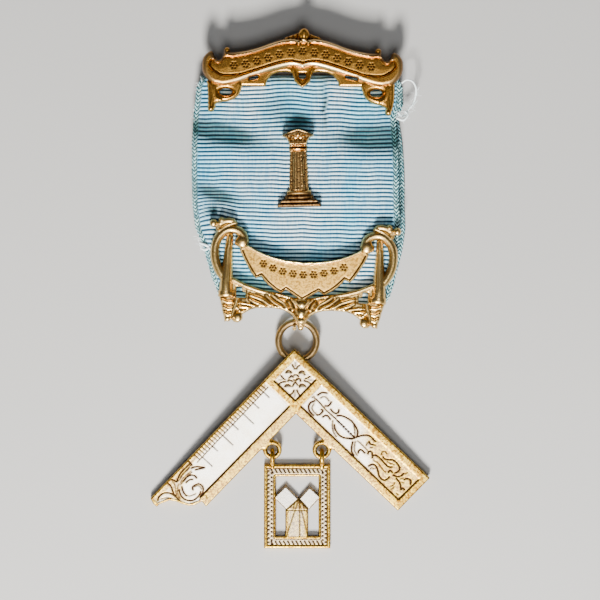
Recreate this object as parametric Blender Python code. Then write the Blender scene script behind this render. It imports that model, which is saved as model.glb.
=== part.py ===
"""A past master's breast jewel: brooch bar, ribbon, pillar, lower bar, ring, square and hung plate.

It lies on its back. +Y points to the top of the jewel, +Z to the viewer, and the ribbon's
back layer, the pin, the square's ends and the hung plate rest on the plane Z = 0.
"""

import math

import bmesh
import bpy
from mathutils import Matrix, Vector

MM = 0.001

# Clearances and the ribbon
CLEARANCE = 0.3 * MM
OVERLAP = 0.25 * MM
STAGGER = 0.02 * MM
RIBBON_WIDTH = 38.0 * MM
RIBBON_WALL = 1.0 * MM
RIBBON_REACH = 38.3 * MM
BACK_LAYER_SHIFT = 1.2 * MM
RAIL_DIAMETER = 1.0 * MM
POST_DIAMETER = 1.0 * MM

# Brooch bar
BAR_HALF = 18.5 * MM
BAR_TURN = -0.5
BAR_PLATE = 0.9 * MM
BAR_FIELD = 1.2 * MM
BAR_RIM = 0.8 * MM
FINIAL_HEIGHT = 2.7 * MM
WING_DROP = 0.25 * MM
EAR_STEP = 0.05 * MM
PIN_DIAMETER = 0.9 * MM
PIN_LENGTH = 27.0 * MM
PIN_FOOT = 2.2 * MM
PIN_TO_FOLD = 1.0 * MM
PIN_LIFT = 0.3 * MM

# Pillar
PILLAR_HEIGHT = 14.4 * MM
PILLAR_TURN = 1.2
PILLAR_DROP = 15.5 * MM
PILLAR_RELIEF = 1.6 * MM
FLUTES = 5
FLUTE_RADIUS = 0.3 * MM
KEEPER_DIAMETER = 3.6 * MM
KEEPER_THICKNESS = 0.4 * MM

# Lower bar
LOWER_HALF = 17.2 * MM
LOWER_TURN = -2.7
LOWER_PLATE = 1.0 * MM
SWAG_RELIEF = 0.4 * MM
SCROLL_WIRE = 1.5 * MM
TORCH_RELIEF = 1.9 * MM
LEAF_RELIEF = 0.5 * MM
KNOB_RELIEF = 0.8 * MM

# Ring and the wire loops behind the finial and the square's corner
RING_OUTER = 8.4 * MM
RING_WIRE = 1.3 * MM
BAIL_WIRE = 0.7 * MM

# Square
LEFT_ARM = 38.9 * MM
RIGHT_ARM = 34.7 * MM
ARM_WIDTH = 8.5 * MM
ARM_TURN = 1.2
SQUARE_PLATE = 1.2 * MM
PANEL_DEPTH = 0.15 * MM
BORDER = 1.4 * MM
CORNER_TO_BAIL = 2.3 * MM
EYE_SPACING = 9.15 * MM
EYE_OUTER = 3.5 * MM
EYE_HOLE = 1.9 * MM
EYE_SUNK = 0.2 * MM
SOLDER = 0.6 * MM

# Hung plate
PLATE_WIDTH = 12.3 * MM
PLATE_HEIGHT = 15.5 * MM
PLATE_THICKNESS = 1.2 * MM
PLATE_BORDER = 2.2 * MM
FIGURE_SUNK = 0.1 * MM
LOOP_WIRE = 0.8 * MM
LOOP_SLACK = 0.45 * MM

# Heights that follow from the sizes above
RAIL_Z = RIBBON_WALL + CLEARANCE + RAIL_DIAMETER / 2
BAR_BACK = 2 * RAIL_Z + CLEARANCE
FOLD_RADIUS = RAIL_Z
RING_Z = BAIL_WIRE + CLEARANCE + RING_WIRE / 2
RING_RADIUS = (RING_OUTER - RING_WIRE) / 2
BAIL_RADIUS = RING_WIRE / 2 + CLEARANCE + BAIL_WIRE / 2
EYE_RADIUS = (EYE_OUTER + EYE_HOLE) / 4
EYE_WIRE = (EYE_OUTER - EYE_HOLE) / 2
LOOP_RADIUS = EYE_WIRE / 2 + LOOP_SLACK + LOOP_WIRE / 2

# Places along the jewel, measured down from the upper rail
LOWER_RAIL_Y = -RIBBON_REACH
BAIL_DROP = 0.318
BAIL_Y = LOWER_RAIL_Y - BAIL_DROP * LOWER_HALF
RING_Y = BAIL_Y - RING_RADIUS
CORNER_Y = RING_Y - RING_RADIUS + CORNER_TO_BAIL
BAR_X = 0.0
LOWER_X = 0.0
PILLAR_X = -0.7 * MM
RIBBON_X = -1.3 * MM
RING_X = -0.9 * MM
CORNER_X = -1.45 * MM

# Brooch bar, right half. Columns: across, up, as shares of BAR_HALF from the upper rail.
BAR_TOP_EDGE = (
    (0.000, 0.440), (0.124, 0.447), (0.224, 0.431), (0.323, 0.399), (0.423, 0.362),
    (0.522, 0.333), (0.622, 0.314), (0.692, 0.306), (0.745, 0.312), (0.780, 0.336),
)
BAR_END_EDGE = (
    (0.786, 0.280), (0.808, 0.243), (0.840, 0.232), (0.868, 0.258), (0.896, 0.318),
    (0.950, 0.297), (0.990, 0.247), (1.000, 0.177), (0.990, 0.107), (0.960, 0.053),
    (0.920, 0.010), (0.876, -0.015),
)
BAR_RIM_EDGE = (
    (0.876, -0.015), (0.796, -0.030), (0.721, -0.021), (0.622, 0.006), (0.522, 0.042),
    (0.423, 0.075), (0.323, 0.109), (0.224, 0.138), (0.124, 0.160), (0.060, 0.158),
    (0.000, 0.132),
)
BAR_PLATE_EDGE = (
    (0.000, 0.200), (0.400, 0.200), (0.800, 0.120), (0.820, 0.020), (0.690, 0.000), (0.640, -0.027),
    (0.366, -0.027), (0.350, 0.030), (0.300, 0.088), (0.239, 0.112), (0.160, 0.120),
    (0.105, 0.107), (0.088, 0.068), (0.078, 0.020), (0.040, -0.015), (0.000, -0.042),
)
FIELD_TOP_EDGE = (
    (0.000, 0.392), (0.124, 0.396), (0.224, 0.381), (0.323, 0.351), (0.423, 0.314),
    (0.522, 0.285), (0.622, 0.265), (0.692, 0.255), (0.765, 0.258), (0.800, 0.215),
    (0.841, 0.193), (0.871, 0.205), (0.893, 0.230), (0.920, 0.205), (0.925, 0.165),
)
FIELD_LOW_EDGE = (
    (0.891, 0.127), (0.821, 0.086), (0.751, 0.075), (0.622, 0.085), (0.522, 0.115),
    (0.423, 0.147), (0.323, 0.180), (0.224, 0.211), (0.124, 0.225), (0.000, 0.222),
)
LENS_SLOT = {"across": 0.487, "up": 0.050, "half_length": 0.062, "half_height": 0.017, "turn": 17.0}
CENTRE_WINDOW = {"half_width": 0.034, "low": 0.048, "high": 0.108}
# Columns: side, upright across, knob up, hole across, as shares of BAR_HALF.
EARS = (
    {"side": -1, "upright": 0.915, "knob_up": -0.240, "hole": 0.761},
    {"side": 1, "upright": 0.851, "knob_up": -0.270, "hole": 0.711},
)
EAR_HOLE_UP = -0.082
EAR_HOLE_HALF = (0.060, 0.045)
EAR_RING_HALF = (0.122, 0.098)
EAR_UPRIGHT_HALF = 0.028
EAR_UPRIGHT_TOP = 0.020
EAR_WEB = {"low": -0.170, "high": -0.010}
EAR_KNOB_RADIUS = 0.032
FINIAL = {"across": 0.015, "up": 0.490, "half_width": 0.062, "half_height": 0.060}
FINIAL_BEADS = (
    {"across": -0.040, "up": 0.405, "radius": 0.026},
    {"across": 0.015, "up": 0.445, "radius": 0.028},
    {"across": 0.060, "up": 0.402, "radius": 0.026},
)
WING_EDGE = ((0.02, 0.43), (0.20, 0.435), (0.17, 0.462), (0.10, 0.480), (0.05, 0.490), (0.02, 0.52))
RAIL_HALF_SHARE = 0.84
POST_SHARE = 0.66

# Pillar, from the foot up. Columns: from and to and half widths as shares of PILLAR_HEIGHT, relief
# as a share of PILLAR_RELIEF, and whether the step is round.
PILLAR_SHAFT = {
    "low": 0.205, "high": 0.720, "half_low": 0.128, "half_high": 0.106, "relief": 0.80, "round": True,
}
PILLAR_STEPS = (
    {"low": 0.000, "high": 0.052, "half_low": 0.281, "half_high": 0.281, "relief": 1.00, "round": False},
    {"low": 0.045, "high": 0.105, "half_low": 0.262, "half_high": 0.225, "relief": 0.90, "round": False},
    {"low": 0.098, "high": 0.160, "half_low": 0.192, "half_high": 0.185, "relief": 0.85, "round": False},
    {"low": 0.150, "high": 0.215, "half_low": 0.155, "half_high": 0.150, "relief": 0.95, "round": True},
    PILLAR_SHAFT,
    {"low": 0.712, "high": 0.745, "half_low": 0.114, "half_high": 0.114, "relief": 0.95, "round": True},
    {"low": 0.740, "high": 0.900, "half_low": 0.104, "half_high": 0.150, "relief": 0.95, "round": True},
)
FLUTE_LOW = 0.235
FLUTE_HIGH = 0.700
# Abacus outline, right half. Columns: across, up, as shares of PILLAR_HEIGHT.
ABACUS = ((0.000, 1.000), (0.060, 0.985), (0.204, 0.922), (0.175, 0.885), (0.090, 0.880), (0.000, 0.890))
# Leaves on the capital. Columns: across and up as shares of PILLAR_HEIGHT, height as a share of
# PILLAR_RELIEF.
CAPITAL_LEAVES = (
    {"across": -0.10, "up": 0.83, "height": 0.51},
    {"across": 0.00, "up": 0.83, "height": 0.85},
    {"across": 0.10, "up": 0.83, "height": 0.51},
)
CAPITAL_LEAF_HALF = (0.035, 0.055)
CAPITAL_LEAF_RELIEF = 0.35

# Lower bar, right half. Columns: across, up, as shares of LOWER_HALF from the lower rail.
SWAG_EDGE = (
    (0.000, 0.317), (0.188, 0.330), (0.295, 0.350), (0.402, 0.379), (0.509, 0.423), (0.610, 0.480),
    (0.668, 0.450), (0.691, 0.397), (0.648, 0.332), (0.600, 0.252), (0.557, 0.177), (0.504, 0.121),
    (0.448, 0.146), (0.429, 0.118), (0.375, 0.064), (0.300, 0.011), (0.230, -0.024), (0.176, 0.015),
    (0.118, -0.021), (0.000, -0.096),
)
GARLAND_EDGE = (
    (0.000, -0.070), (0.193, -0.056), (0.348, -0.011), (0.456, 0.013), (0.563, 0.045), (0.670, 0.086),
    (0.760, 0.134), (0.760, -0.150), (0.623, -0.263), (0.547, -0.214), (0.482, -0.193), (0.418, -0.188),
    (0.322, -0.185), (0.225, -0.195), (0.150, -0.220), (0.096, -0.252), (0.064, -0.300),
    (0.043, -0.350), (0.030, -0.385), (0.000, -0.392),
)
GARLAND_WINDOW = {"left": 0.605, "right": 0.705, "low": -0.090, "high": 0.022}
# Columns: across, up, half width, as shares of LOWER_HALF.
SCROLL_PATH = (
    (0.700, 0.500, 0.036), (0.665, 0.560, 0.040), (0.700, 0.625, 0.042), (0.780, 0.650, 0.042),
    (0.868, 0.606, 0.042), (0.927, 0.536, 0.043), (0.954, 0.450, 0.043), (0.954, 0.343, 0.043),
    (0.932, 0.257, 0.042), (0.885, 0.170, 0.038), (0.840, 0.110, 0.032),
)
TORCH_PATH = (
    (0.800, 0.560, 0.026), (0.808, 0.430, 0.038), (0.810, 0.279, 0.052), (0.814, 0.172, 0.062),
    (0.818, 0.064, 0.070), (0.816, -0.030, 0.074),
)
SWAG_CURL = {"across": 0.675, "up": 0.515, "radius": 0.066}
COLLAR = {"across": 0.811, "half_width": 0.087, "low": -0.091, "high": -0.020}
FOOT_EDGE = (
    (0.722, -0.075), (0.895, -0.075), (0.875, -0.134), (0.857, -0.193), (0.847, -0.247), (0.825, -0.311),
    (0.820, -0.359), (0.778, -0.338), (0.745, -0.327), (0.718, -0.354), (0.675, -0.359), (0.641, -0.332),
    (0.630, -0.289), (0.605, -0.240),
)
CREST_EDGE = (
    (0.730, 0.690), (0.775, 0.730), (0.865, 0.728), (0.930, 0.732), (0.985, 0.715), (0.972, 0.650),
    (0.925, 0.570), (0.850, 0.620), (0.760, 0.655),
)
BUDS = (
    {"across": 0.980, "up": 0.697, "radius": 0.046},
    {"across": 0.865, "up": 0.700, "radius": 0.042},
    {"across": 0.775, "up": 0.712, "radius": 0.036},
)
LEAVES = (
    {"across": 0.16, "up": -0.135, "length": 0.22, "width": 0.060, "turn": 42.0},
    {"across": 0.27, "up": -0.110, "length": 0.22, "width": 0.055, "turn": 32.0},
    {"across": 0.38, "up": -0.085, "length": 0.24, "width": 0.055, "turn": 26.0},
    {"across": 0.49, "up": -0.060, "length": 0.24, "width": 0.055, "turn": 20.0},
    {"across": 0.57, "up": -0.150, "length": 0.20, "width": 0.050, "turn": 12.0},
)
CENTRE_KNOBS = (
    {"up": -0.115, "radius": 0.060},
    {"up": -0.215, "radius": 0.052},
    {"up": -0.310, "radius": 0.045},
    {"up": -0.385, "radius": 0.030},
)
LOWER_RAIL_SHARE = 0.78
LOWER_POST_SHARE = 0.62

# Left arm's shaped end. Columns: across the arm, cut back, as shares of ARM_WIDTH.
ARM_END = (
    (0.000, 0.040), (0.120, 0.000), (0.230, 0.000), (0.230, 0.090), (0.330, 0.300), (0.450, 0.380),
    (0.580, 0.430), (0.710, 0.500), (0.800, 0.600), (0.855, 0.770), (1.000, 0.750),
)

# The theorem figure inside the hung plate. Columns: across and up as shares of PLATE_WIDTH,
# from the middle of the opening's foot.
FIGURE_SQUARES = (
    ((-0.172, 0.770), (0.034, 0.568), (-0.165, 0.403), (-0.375, 0.590)),
    ((0.187, 0.755), (0.375, 0.597), (0.180, 0.403), (0.008, 0.575)),
)
FIGURE_BASE = ((-0.180, -0.03), (0.165, -0.03), (0.165, 0.410), (0.022, 0.600), (-0.180, 0.410))

# Ribbon outline. Columns: down as a share of the drop between the folds, then the front layer's
# left and right edge and how far the edges draw in at the back, as shares of RIBBON_WIDTH.
RIBBON_ROWS = (
    {"down": 0.00, "left": -0.450, "right": 0.492, "back": 0.010},
    {"down": 0.06, "left": -0.478, "right": 0.517, "back": 0.000},
    {"down": 0.13, "left": -0.486, "right": 0.512, "back": 0.000},
    {"down": 0.19, "left": -0.494, "right": 0.484, "back": 0.000},
    {"down": 0.30, "left": -0.500, "right": 0.496, "back": 0.000},
    {"down": 0.45, "left": -0.501, "right": 0.500, "back": 0.000},
    {"down": 0.58, "left": -0.498, "right": 0.501, "back": 0.000},
    {"down": 0.68, "left": -0.484, "right": 0.508, "back": 0.010},
    {"down": 0.76, "left": -0.448, "right": 0.500, "back": 0.018},
    {"down": 0.84, "left": -0.424, "right": 0.484, "back": 0.020},
    {"down": 0.91, "left": -0.404, "right": 0.470, "back": 0.020},
    {"down": 0.96, "left": -0.380, "right": 0.456, "back": 0.016},
    {"down": 1.00, "left": -0.370, "right": 0.428, "back": 0.010},
)
# Dents of the front layer. Columns: across and half length as shares of RIBBON_WIDTH, down and
# half height as shares of RIBBON_REACH, depth as a share of RIBBON_WALL.
RIBBON_DENTS = (
    {"across": -0.36, "down": 0.24, "half_long": 0.26, "half_high": 0.05, "depth": 0.45},
    {"across": 0.38, "down": 0.27, "half_long": 0.26, "half_high": 0.06, "depth": 0.50},
    {"across": 0.15, "down": 0.12, "half_long": 0.02, "half_high": 0.16, "depth": 0.35},
    {"across": -0.40, "down": 0.55, "half_long": 0.16, "half_high": 0.04, "depth": 0.45},
)
RIBBON_ACROSS = 12
FOLD_STEPS = 6

GOLD = {"base": (0.72, 0.47, 0.16, 1.0), "roughness": 0.32, "metallic": 1.0}
PALE_GOLD = {"base": (0.80, 0.62, 0.33, 1.0), "roughness": 0.30, "metallic": 1.0}
BRASS = {"base": (0.46, 0.32, 0.14, 1.0), "roughness": 0.40, "metallic": 1.0}
BLUE_CLOTH = {"base": (0.42, 0.68, 0.82, 1.0), "roughness": 0.75, "metallic": 0.0}


def clear_scene():
    for old in list(bpy.data.objects):
        bpy.data.objects.remove(old)


def material(name, look):
    made = bpy.data.materials.new(name)
    made.use_nodes = True
    shader = made.node_tree.nodes["Principled BSDF"]
    shader.inputs["Base Color"].default_value = look["base"]
    shader.inputs["Roughness"].default_value = look["roughness"]
    shader.inputs["Metallic"].default_value = look["metallic"]
    return made


def add_object(name, mesh):
    made = bpy.data.objects.new(name, mesh)
    bpy.context.collection.objects.link(made)
    return made


def from_bmesh(name, shape):
    bmesh.ops.recalc_face_normals(shape, faces=shape.faces)
    mesh = bpy.data.meshes.new(name)
    shape.to_mesh(mesh)
    shape.free()
    return add_object(name, mesh)


def evaluated(made):
    """Turns an object's curve or modifiers into its plain mesh."""
    bpy.context.view_layer.update()
    depsgraph = bpy.context.evaluated_depsgraph_get()
    mesh = bpy.data.meshes.new_from_object(made.evaluated_get(depsgraph))
    name = made.name
    matrix = made.matrix_world.copy()
    bpy.data.objects.remove(made)
    mesh.transform(matrix)
    return add_object(name, mesh)


def combined(base, others, operation):
    """Unites the base with the others, or cuts them from it, and removes them."""
    for other in others:
        step = base.modifiers.new(operation, "BOOLEAN")
        step.operation = operation
        step.object = other
        step.solver = "EXACT"
        base = evaluated(base)
        bpy.data.objects.remove(other)
    return base


def prism(name, outline, low, high):
    """A plate with this outline, from one height to another."""
    shape = bmesh.new()
    ring = [shape.verts.new((x, y, low)) for x, y in outline]
    face = shape.faces.new(ring)
    raised = bmesh.ops.extrude_face_region(shape, geom=[face])
    moved = [v for v in raised["geom"] if isinstance(v, bmesh.types.BMVert)]
    bmesh.ops.translate(shape, verts=moved, vec=(0, 0, high - low))
    bmesh.ops.triangulate(shape, faces=[f for f in shape.faces if len(f.verts) > 4])
    return from_bmesh(name, shape)


def scaled(points, size):
    return [(across * size, up * size) for across, up in points]


def mirrored(points):
    """The right half's points and the same points on the left, as one closed outline."""
    left = [(-x, y) for x, y in reversed(points) if abs(x) > 1e-9]
    return list(points) + left


def smooth(points, steps=3):
    """A smooth run through the points, as a Catmull-Rom curve."""
    ends = [points[0]] + list(points) + [points[-1]]
    run = []
    for before, start, end, after in zip(ends, ends[1:], ends[2:], ends[3:]):
        for step in range(steps):
            t = step / steps
            spot = []
            for a, b, c, d in zip(before, start, end, after):
                bend = t**2 * (a - 2.5 * b + 2 * c - d / 2) + t**3 * (1.5 * (b - c) + (d - a) / 2)
                spot.append(b + t * (c - a) / 2 + bend)
            run.append(tuple(spot))
    return run + [tuple(points[-1])]


def oval(centre, half, sides=20, turn=0.0):
    c, s = math.cos(math.radians(turn)), math.sin(math.radians(turn))
    around = [2 * math.pi * step / sides for step in range(sides)]
    spots = [(half[0] * math.cos(a), half[1] * math.sin(a)) for a in around]
    return [(centre[0] + x * c - y * s, centre[1] + x * s + y * c) for x, y in spots]


def box_outline(left, right, low, high):
    return [(left, low), (right, low), (right, high), (left, high)]


def cylinder(name, start, end, radius, sides=12):
    """A round bar from one point to another."""
    start, end = Vector(start), Vector(end)
    shape = bmesh.new()
    length = (end - start).length
    bmesh.ops.create_cone(shape, cap_ends=True, segments=sides, radius1=radius, radius2=radius, depth=length)
    turn = Vector((0, 0, 1)).rotation_difference(end - start).to_matrix().to_4x4()
    bmesh.ops.transform(shape, matrix=Matrix.Translation((start + end) / 2) @ turn, verts=shape.verts)
    return from_bmesh(name, shape)


def dome(name, centre, half, sides=12):
    """A low rounded boss: an ellipsoid whose lower half sinks into what it sits on."""
    shape = bmesh.new()
    bmesh.ops.create_uvsphere(shape, u_segments=sides, v_segments=6, radius=1.0)
    place = Matrix.Translation(centre) @ Matrix.Diagonal((*half, 1.0))
    bmesh.ops.transform(shape, matrix=place, verts=shape.verts)
    return from_bmesh(name, shape)


def tube(name, points, radii, height_share=1.0, sides=8):
    """A wire along the points, with its own radius at each, flattened to a share of its height."""
    curve = bpy.data.curves.new(name, "CURVE")
    curve.dimensions = "3D"
    curve.bevel_depth = 1.0
    curve.bevel_resolution = max(0, sides // 4 - 1)
    curve.use_fill_caps = True
    spline = curve.splines.new("POLY")
    spline.points.add(len(points) - 1)
    middle = sum(p[2] for p in points) / len(points)
    for spot, place, radius in zip(spline.points, points, radii):
        spot.co = (*place, 1.0)
        spot.radius = radius
    made = evaluated(add_object(name, curve))
    for vertex in made.data.vertices:
        vertex.co.z = middle + (vertex.co.z - middle) * height_share
    shape = bmesh.new()
    shape.from_mesh(made.data)
    bmesh.ops.remove_doubles(shape, verts=shape.verts, dist=1e-7)
    bpy.data.objects.remove(made)
    return from_bmesh(name, shape)


def ring_wire(name, centre, radius, wire_radius, axis, around=20, sides=8):
    """A closed round wire ring whose hole points along the axis X or Z."""
    shape = bmesh.new()
    spots = []
    for step in range(around):
        a = 2 * math.pi * step / around
        loop = []
        for side in range(sides):
            b = 2 * math.pi * side / sides
            out = radius + wire_radius * math.cos(b)
            up = wire_radius * math.sin(b)
            flat = (out * math.cos(a), out * math.sin(a), up)
            place = flat if axis == "Z" else (flat[2], flat[0], flat[1])
            loop.append(shape.verts.new(Vector(centre) + Vector(place)))
        spots.append(loop)
    for first, second in zip(spots, spots[1:] + spots[:1]):
        for side in range(sides):
            after = (side + 1) % sides
            shape.faces.new((first[side], second[side], second[after], first[after]))
    return from_bmesh(name, shape)


def bail(name, x, y, top):
    """A U of wire across the jewel's length, open upwards, whose legs end inside the plate above."""
    arc = [math.pi * (1 + step / 6) for step in range(7)]
    points = [(x, y + BAIL_RADIUS * math.cos(a), RING_Z + BAIL_RADIUS * math.sin(a)) for a in arc]
    points = [(x, y - BAIL_RADIUS, top)] + points + [(x, y + BAIL_RADIUS, top)]
    return tube(name, points, [BAIL_WIRE / 2] * len(points))


def placed(made, turn, x, y, name, look):
    """Turns a finished piece about its own origin, puts it in place and gives it its material."""
    move = Matrix.Translation((x, y, 0)) @ Matrix.Rotation(math.radians(turn), 4, "Z")
    made.data.transform(move)
    made.name = name
    made.data.name = name
    made.data.materials.clear()
    made.data.materials.append(look)
    made.data.shade_smooth()
    made.data.set_sharp_from_angle(angle=math.radians(35))
    return made


def rail_pieces(half_length, post_across):
    """The hidden rail inside the ribbon's fold and the two posts that carry it."""
    rail = cylinder("rail", (-half_length, 0, RAIL_Z), (half_length, 0, RAIL_Z), RAIL_DIAMETER / 2)
    posts = [
        cylinder("post", (x, 0, RAIL_Z), (x, 0, BAR_BACK + OVERLAP), POST_DIAMETER / 2 * 0.98)
        for x in (-post_across, post_across)
    ]
    return [rail] + posts


def ear_pieces(size, top):
    """The pierced ear below each end of the brooch bar, with its upright and knob."""
    made = []
    for ear in EARS:
        hole = ear["side"] * ear["hole"] * size
        upright = ear["side"] * ear["upright"] * size
        half = EAR_UPRIGHT_HALF * size
        ring_half = [share * size for share in EAR_RING_HALF]
        made.append(prism("ear_ring", oval((hole, EAR_HOLE_UP * size), ring_half), BAR_BACK, top))
        post = box_outline(upright - half, upright + half, ear["knob_up"] * size, EAR_UPRIGHT_TOP * size)
        made.append(prism("ear_upright", post, BAR_BACK, top - STAGGER))
        left, right = sorted((hole, upright))
        web = box_outline(left, right, EAR_WEB["low"] * size, EAR_WEB["high"] * size)
        made.append(prism("ear_web", web, BAR_BACK, top - EAR_STEP))
        radius = EAR_KNOB_RADIUS * size
        centre = (upright, ear["knob_up"] * size, (BAR_BACK + top) / 2)
        made.append(dome("ear_knob", centre, (radius, radius, radius), 10))
    return made


def finial_pieces(size, rim_top):
    """The knob, beads and two leaf wings on top of the brooch bar."""
    place = (FINIAL["across"] * size, FINIAL["up"] * size, rim_top - OVERLAP)
    half = (FINIAL["half_width"] * size, FINIAL["half_height"] * size, BAR_BACK + FINIAL_HEIGHT - place[2])
    made = [dome("finial", place, half, 14)]
    for bead in FINIAL_BEADS:
        radius = bead["radius"] * size
        made.append(dome("bead", (bead["across"] * size, bead["up"] * size, rim_top), (radius,) * 3, 10))
    for side in (-1, 1):
        outline = [(side * x, y) for x, y in scaled(WING_EDGE, size)]
        made.append(prism("wing", outline, BAR_BACK + OVERLAP, rim_top - WING_DROP))
    return made


def bar_holes(size, top):
    """Cutters for the slots, the centre window and the ears' holes."""
    low, high = BAR_BACK - OVERLAP, top + OVERLAP
    holes = []
    for side in (-1, 1):
        centre = (side * LENS_SLOT["across"] * size, LENS_SLOT["up"] * size)
        half = (LENS_SLOT["half_length"] * size, LENS_SLOT["half_height"] * size)
        holes.append(prism("slot", oval(centre, half, 12, -side * LENS_SLOT["turn"]), low, high))
    half = CENTRE_WINDOW["half_width"] * size
    window = box_outline(-half, half, CENTRE_WINDOW["low"] * size, CENTRE_WINDOW["high"] * size)
    holes.append(prism("window", window, low, high))
    for ear in EARS:
        centre = (ear["side"] * ear["hole"] * size, EAR_HOLE_UP * size)
        half = [share * size for share in EAR_HOLE_HALF]
        holes.append(prism("ear_hole", oval(centre, half, 16), low, high))
    return holes


def brooch_bar(look):
    size = BAR_HALF
    plate_top = BAR_BACK + BAR_PLATE
    field_top = BAR_BACK + BAR_FIELD
    rim_top = field_top + BAR_RIM
    outer = scaled(smooth(BAR_TOP_EDGE, 2) + list(BAR_END_EDGE) + smooth(BAR_RIM_EDGE[1:], 2), size)
    base = prism("brooch_bar", mirrored(outer), BAR_BACK, rim_top)
    field = scaled(smooth(FIELD_TOP_EDGE[:9], 2) + list(FIELD_TOP_EDGE[9:]) + smooth(FIELD_LOW_EDGE, 2), size)
    pocket = prism("pocket", mirrored(field), field_top, rim_top + OVERLAP)
    base = combined(base, [pocket], "DIFFERENCE")
    plate = mirrored(scaled(BAR_PLATE_EDGE, size))
    adds = [prism("plate", plate, BAR_BACK + STAGGER, plate_top)]
    adds += ear_pieces(size, plate_top)
    adds += finial_pieces(size, rim_top)
    adds += rail_pieces(RAIL_HALF_SHARE * size, POST_SHARE * size)
    base = combined(base, adds, "UNION")
    base = combined(base, bar_holes(size, plate_top), "DIFFERENCE")
    return placed(base, BAR_TURN, BAR_X, 0.0, "brooch_bar", look)


def brooch_pin(look):
    """A plain stem on two feet behind the bar, clear of the ribbon's fold."""
    y = FOLD_RADIUS + PIN_TO_FOLD + PIN_FOOT / 2
    foot_top = BAR_BACK - CLEARANCE
    half = PIN_FOOT / 2
    feet = [
        prism("foot", box_outline(x - half, x + half, y - half, y + half), 0.0, foot_top)
        for x in (-PIN_LENGTH / 2, PIN_LENGTH / 2)
    ]
    stem_z = PIN_LIFT + PIN_DIAMETER / 2
    stem = cylinder("stem", (-PIN_LENGTH / 2, y, stem_z), (PIN_LENGTH / 2, y, stem_z), PIN_DIAMETER / 2, 10)
    return placed(combined(stem, feet, "UNION"), BAR_TURN, BAR_X, 0.0, "brooch_pin", look)


def ribbon_edge(down, key):
    """Reads one column of the ribbon's table at a share of the drop."""
    rows = RIBBON_ROWS
    for above, below in zip(rows, rows[1:]):
        if down <= below["down"]:
            part = (down - above["down"]) / (below["down"] - above["down"])
            return above[key] + (below[key] - above[key]) * max(part, 0.0)
    return rows[-1][key]


def ribbon_dent(across, down):
    deep = 0.0
    for dent in RIBBON_DENTS:
        along = (across - dent["across"]) / dent["half_long"]
        below = (down - dent["down"]) / dent["half_high"]
        deep += dent["depth"] * RIBBON_WALL * math.exp(-(along**2) - below**2)
    return deep


def ribbon_loop():
    """Stations round the band: place along Y, middle height, direction out of the loop, and layer."""
    radius = RAIL_Z - RIBBON_WALL / 2
    straight = [step / 18 for step in range(19)]
    stations = []
    for share in straight:
        stations.append((-share * RIBBON_REACH, RAIL_Z + radius, (0.0, 1.0), "front"))
    for step in range(1, FOLD_STEPS):
        a = math.pi * step / FOLD_STEPS
        out = (-math.sin(a), math.cos(a))
        stations.append((-RIBBON_REACH + radius * out[0], RAIL_Z + radius * out[1], out, "fold"))
    for share in reversed(straight[::2]):
        stations.append((-share * RIBBON_REACH, RAIL_Z - radius, (0.0, -1.0), "back"))
    for step in range(1, FOLD_STEPS):
        a = math.pi * step / FOLD_STEPS
        out = (math.sin(a), -math.cos(a))
        stations.append((radius * out[0], RAIL_Z + radius * out[1], out, "fold"))
    return stations


def ribbon(look):
    """One band sewn into a loop round both rails, with its edges, dents and post holes."""
    shape = bmesh.new()
    loops = []
    drop = RIBBON_REACH + 2 * FOLD_RADIUS
    turn = math.tan(math.radians(LOWER_TURN))
    for y, z, out, layer in ribbon_loop():
        down = min(max((FOLD_RADIUS - y) / drop, 0.0), 1.0)
        backness = {"front": 0.0, "fold": 0.5, "back": 1.0}[layer]
        shift = BACK_LAYER_SHIFT * backness * math.sin(math.pi * down)
        drawn_in = ribbon_edge(down, "back") * backness
        left = (ribbon_edge(down, "left") + drawn_in) * RIBBON_WIDTH + shift
        right = (ribbon_edge(down, "right") - drawn_in) * RIBBON_WIDTH + shift
        loop = []
        for side in (0.5, -0.5):
            row = []
            for step in range(RIBBON_ACROSS + 1):
                x = left + (right - left) * step / RIBBON_ACROSS
                reach = -y / RIBBON_REACH
                deep = ribbon_dent(x / RIBBON_WIDTH, reach) if layer == "front" else 0.0
                skew = turn * (x + RIBBON_X) * min(max(reach, 0.0), 1.0) ** 3
                place = (x, y + skew + side * RIBBON_WALL * out[0], z - deep + side * RIBBON_WALL * out[1])
                row.append(shape.verts.new(place))
            loop.append(row)
        loops.append(loop)
    for first, second in zip(loops, loops[1:] + loops[:1]):
        for layer in (0, 1):
            for step in range(RIBBON_ACROSS):
                a, b = first[layer][step], first[layer][step + 1]
                c, d = second[layer][step + 1], second[layer][step]
                shape.faces.new((a, b, c, d) if layer == 0 else (d, c, b, a))
        for step in (0, RIBBON_ACROSS):
            shape.faces.new((first[0][step], second[0][step], second[1][step], first[1][step]))
    band = from_bmesh("ribbon", shape)
    band.data.transform(Matrix.Translation((RIBBON_X, 0, 0)))
    hole = POST_DIAMETER / 2 + CLEARANCE
    middle = 2 * RAIL_Z - RIBBON_WALL / 2
    low, high = middle - 1.1 * RIBBON_WALL, middle + 1.1 * RIBBON_WALL
    spots = []
    for x, y, turn, across in (
        (BAR_X, 0.0, BAR_TURN, POST_SHARE * BAR_HALF),
        (LOWER_X, LOWER_RAIL_Y, LOWER_TURN, LOWER_POST_SHARE * LOWER_HALF),
    ):
        c, s = math.cos(math.radians(turn)), math.sin(math.radians(turn))
        spots += [(x + side * across * c, y + side * across * s) for side in (-1, 1)]
    spots.append((PILLAR_X, -PILLAR_DROP))
    holes = [cylinder("hole", (x, y, low), (x, y, high), hole, 10) for x, y in spots]
    band = combined(band, holes, "DIFFERENCE")
    return placed(band, 0.0, 0.0, 0.0, "ribbon", look)


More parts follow.
